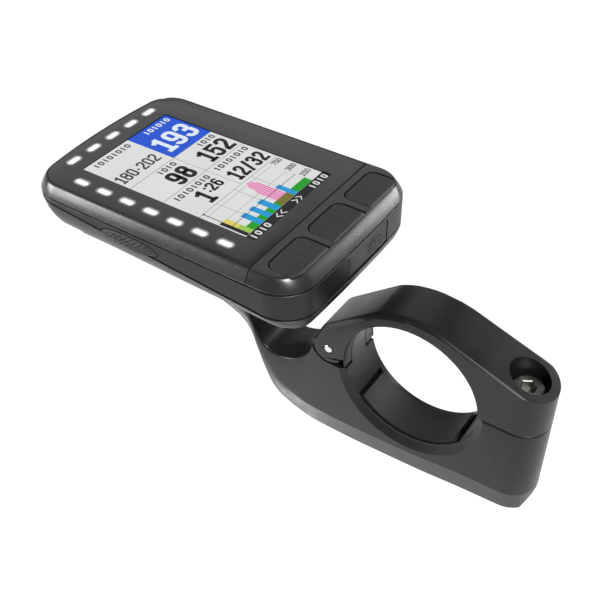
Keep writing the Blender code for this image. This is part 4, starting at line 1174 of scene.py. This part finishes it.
def build_strap():
    path = strap_path()
    outline = [point for point, _ in path]
    rings = []
    for depth, share in ((0.0, 1.12), (0.06, 1.0), (1.0, 0.08), (1.12, 0.02), (1.3, 0.0)):
        ring = []
        for i, (point, draw) in enumerate(path):
            x = CLAMP_HALF - depth * min(draw + 0.12, 1.0)
            ring.append((-x, *inward(outline, i, draw * share)))
        rings.append(ring)
    rings += [[(-x, y, z) for x, y, z in ring] for ring in reversed(rings)]
    strap = raw_object("clamp_strap_shell", ring_mesh(rings))
    plan = arc(0, BOLT_Y, CLAMP_HALF, 180, 360, 48) + [(CLAMP_HALF + 1, 40), (-CLAMP_HALF - 1, 40)]
    carve(strap, prism_mesh(plan, "Z", -10, 40), operation="INTERSECT")
    slot = 3.3
    roof = arc(PIN_Y, PIN_Z, 4.9, 25, 128, 24)
    gap = [(11.4, -10), (40, -10), (40, 3.27)] + roof + [(13.4, 8.6), (11.4, 8.0)]
    carve(strap, prism_mesh(gap, "X", -slot, slot),
          hole_mesh("X", (PIN_Y, PIN_Z), PIN_HOLE, -10, 10),
          hole_mesh("Z", (0, BOLT_Y), 4.5, 4.4, 40, 72),
          hole_mesh("Z", (0, BOLT_Y), 2.3, -5, 10),
          liner_pocket(57, 143))
    add_piece(strap, "strap", "mount", ["clamp_strap"], 24.0)


def build_clamp_details():
    for name, start, end, body in (("lower_pad", -137, -41, "mount"), ("upper_pad", 60, 140, "strap")):
        node = name.replace("pad", "liner")
        pad = prism_mesh(ring_sector(15.9, 18.2, start, end), "X", -4.75, 4.75)
        make(name, pad, body, "seals", [node], 30.0)
    pin = [(0.55, -6.62), (0.85, -6.60), (1.0, -6.45), (1.0, 6.45), (0.85, 6.60), (0.55, 6.62)]
    make("pin", rod_mesh("X", (PIN_Y, PIN_Z), pin, 48), "mount", "pin_metal", ["hinge_pin"])
    head = [(1.7, -9.0), (1.7, 5.6), (3.35, 5.6), (3.5, 5.75), (3.5, 9.0), (3.3, 9.32), (2.9, 9.4)]
    bolt = raw_object("socket_bolt", rod_mesh("Z", (0, BOLT_Y), head, 72))
    carve(bolt, rod_mesh("Z", (0, BOLT_Y), [(1.85, 7.2), (1.85, 9.2), (2.3, 9.6)], 6))
    add_piece(bolt, "bolt", "bolt_metal", ["clamp_bolt"], 30.0)
    washer = ring_mesh([level(ellipse(0, BOLT_Y, r, r, 72), z) for r, z in
                        ((2.2, 4.7), (3.9, 4.7), (4.0, 4.8), (4.0, 5.2), (3.9, 5.3), (2.2, 5.3))],
                       closed=True)
    make("washer", washer, "strap", "bolt_metal", ["bolt_washer"])


# ---------------------------------------------------------------- camera, floor and light

CAMERA_PLACE = (-137.00, -62.47, 152.47)
CAMERA_AZIMUTH = 55.095
CAMERA_ELEVATION = 41.318
CAMERA_ROLL = -1.063
CAMERA_LENS = 56.42


def build_camera():
    azimuth, elevation = math.radians(CAMERA_AZIMUTH), math.radians(CAMERA_ELEVATION)
    ahead = Vector((math.sin(azimuth) * math.cos(elevation), math.cos(azimuth) * math.cos(elevation),
                    -math.sin(elevation)))
    level_right = Vector((ahead.y, -ahead.x, 0.0)).normalized()
    level_up = level_right.cross(ahead)
    roll = math.radians(CAMERA_ROLL)
    right = level_right * math.cos(roll) + level_up * math.sin(roll)
    up = level_up * math.cos(roll) - level_right * math.sin(roll)
    data = bpy.data.cameras.new("camera")
    data.lens = CAMERA_LENS
    data.sensor_width = 36.0
    data.clip_start = 0.005
    data.clip_end = 20.0
    camera = bpy.data.objects.new("camera", data)
    basis = Matrix((right, up, -ahead)).transposed().to_4x4()
    camera.matrix_world = Matrix.Translation(Vector(CAMERA_PLACE) * MM) @ basis
    SCENE.collection.objects.link(camera)
    SCENE.camera = camera


def area_light(name, target, direction, distance, size, power):
    """A softbox at a distance from its target in the given direction, facing it."""
    data = bpy.data.lights.new(name, "AREA")
    data.shape = "RECTANGLE"
    data.size, data.size_y = size
    data.energy = power
    light = bpy.data.objects.new(name, data)
    light.location = target + Vector(direction) * distance
    light.rotation_euler = (target - light.location).to_track_quat("-Z", "Y").to_euler()
    SCENE.collection.objects.link(light)


def sun_light(name, toward, strength, spread_angle):
    """A distant soft source that lies in the given direction."""
    data = bpy.data.lights.new(name, "SUN")
    data.energy = strength
    data.angle = math.radians(spread_angle)
    light = bpy.data.objects.new(name, data)
    light.rotation_euler = (-Vector(toward)).to_track_quat("-Z", "Y").to_euler()
    SCENE.collection.objects.link(light)


def build_stage():
    floor_z, side = -1.2, 14.0
    bm = bmesh.new()
    bm.faces.new([bm.verts.new((x, y, floor_z)) for x, y in bar(-side, -side, side, side)])
    floor = raw_object("floor", bm)
    finish = Finish("pale_floor")
    drift = finish.noise(finish.coordinates(), 3.0, 2.0)
    finish.surface({"Base Color": finish.ramp(drift, 0.3, grey(0.94), 0.7, grey(0.96)),
                    "Roughness": 0.9, "Specular IOR Level": 0.0})
    floor.data.materials.append(finish.material)
    world = bpy.data.worlds.new("studio")
    SCENE.world = world
    world.use_nodes = True
    backdrop = world.node_tree.nodes["Background"]
    backdrop.inputs["Color"].default_value = (1.0, 1.0, 1.0, 1.0)
    backdrop.inputs["Strength"].default_value = 0.14
    centre = Vector((0.0, 0.035, 0.01))
    sun_light("key_front", (-0.37, -0.56, 0.74), 4.1, 15.0)
    for name, direction, distance, size, power in (
            ("band_left", (-0.53, 0.80, 0.27), 0.8, (0.34, 0.26), 4.6),
            ("low_left", (-0.20, 0.43, -0.88), 0.6, (0.12, 0.12), 0.25),
            ("band_far", (0.58, 0.56, 0.59), 1.5, (1.6, 1.4), 4.0),
            ("band_right", (0.82, -0.48, 0.30), 0.8, (0.3, 0.25), 3.5)):
        area_light(name, centre, direction, distance, size, power)
    SCENE.view_settings.view_transform = "Standard"


dress_frame_nodes()
build_bezel()
build_button_panel()
for place, name in enumerate(("left", "center", "right"), -1):
    build_key(name, place)
build_mid_frame()
build_rear_case()
build_display()
build_picture()
for side_key in SIDE_KEYS:
    build_side_key(*side_key)
build_usb_cover()
build_arm()
build_strap()
build_clamp_details()
build_camera()
build_stage()
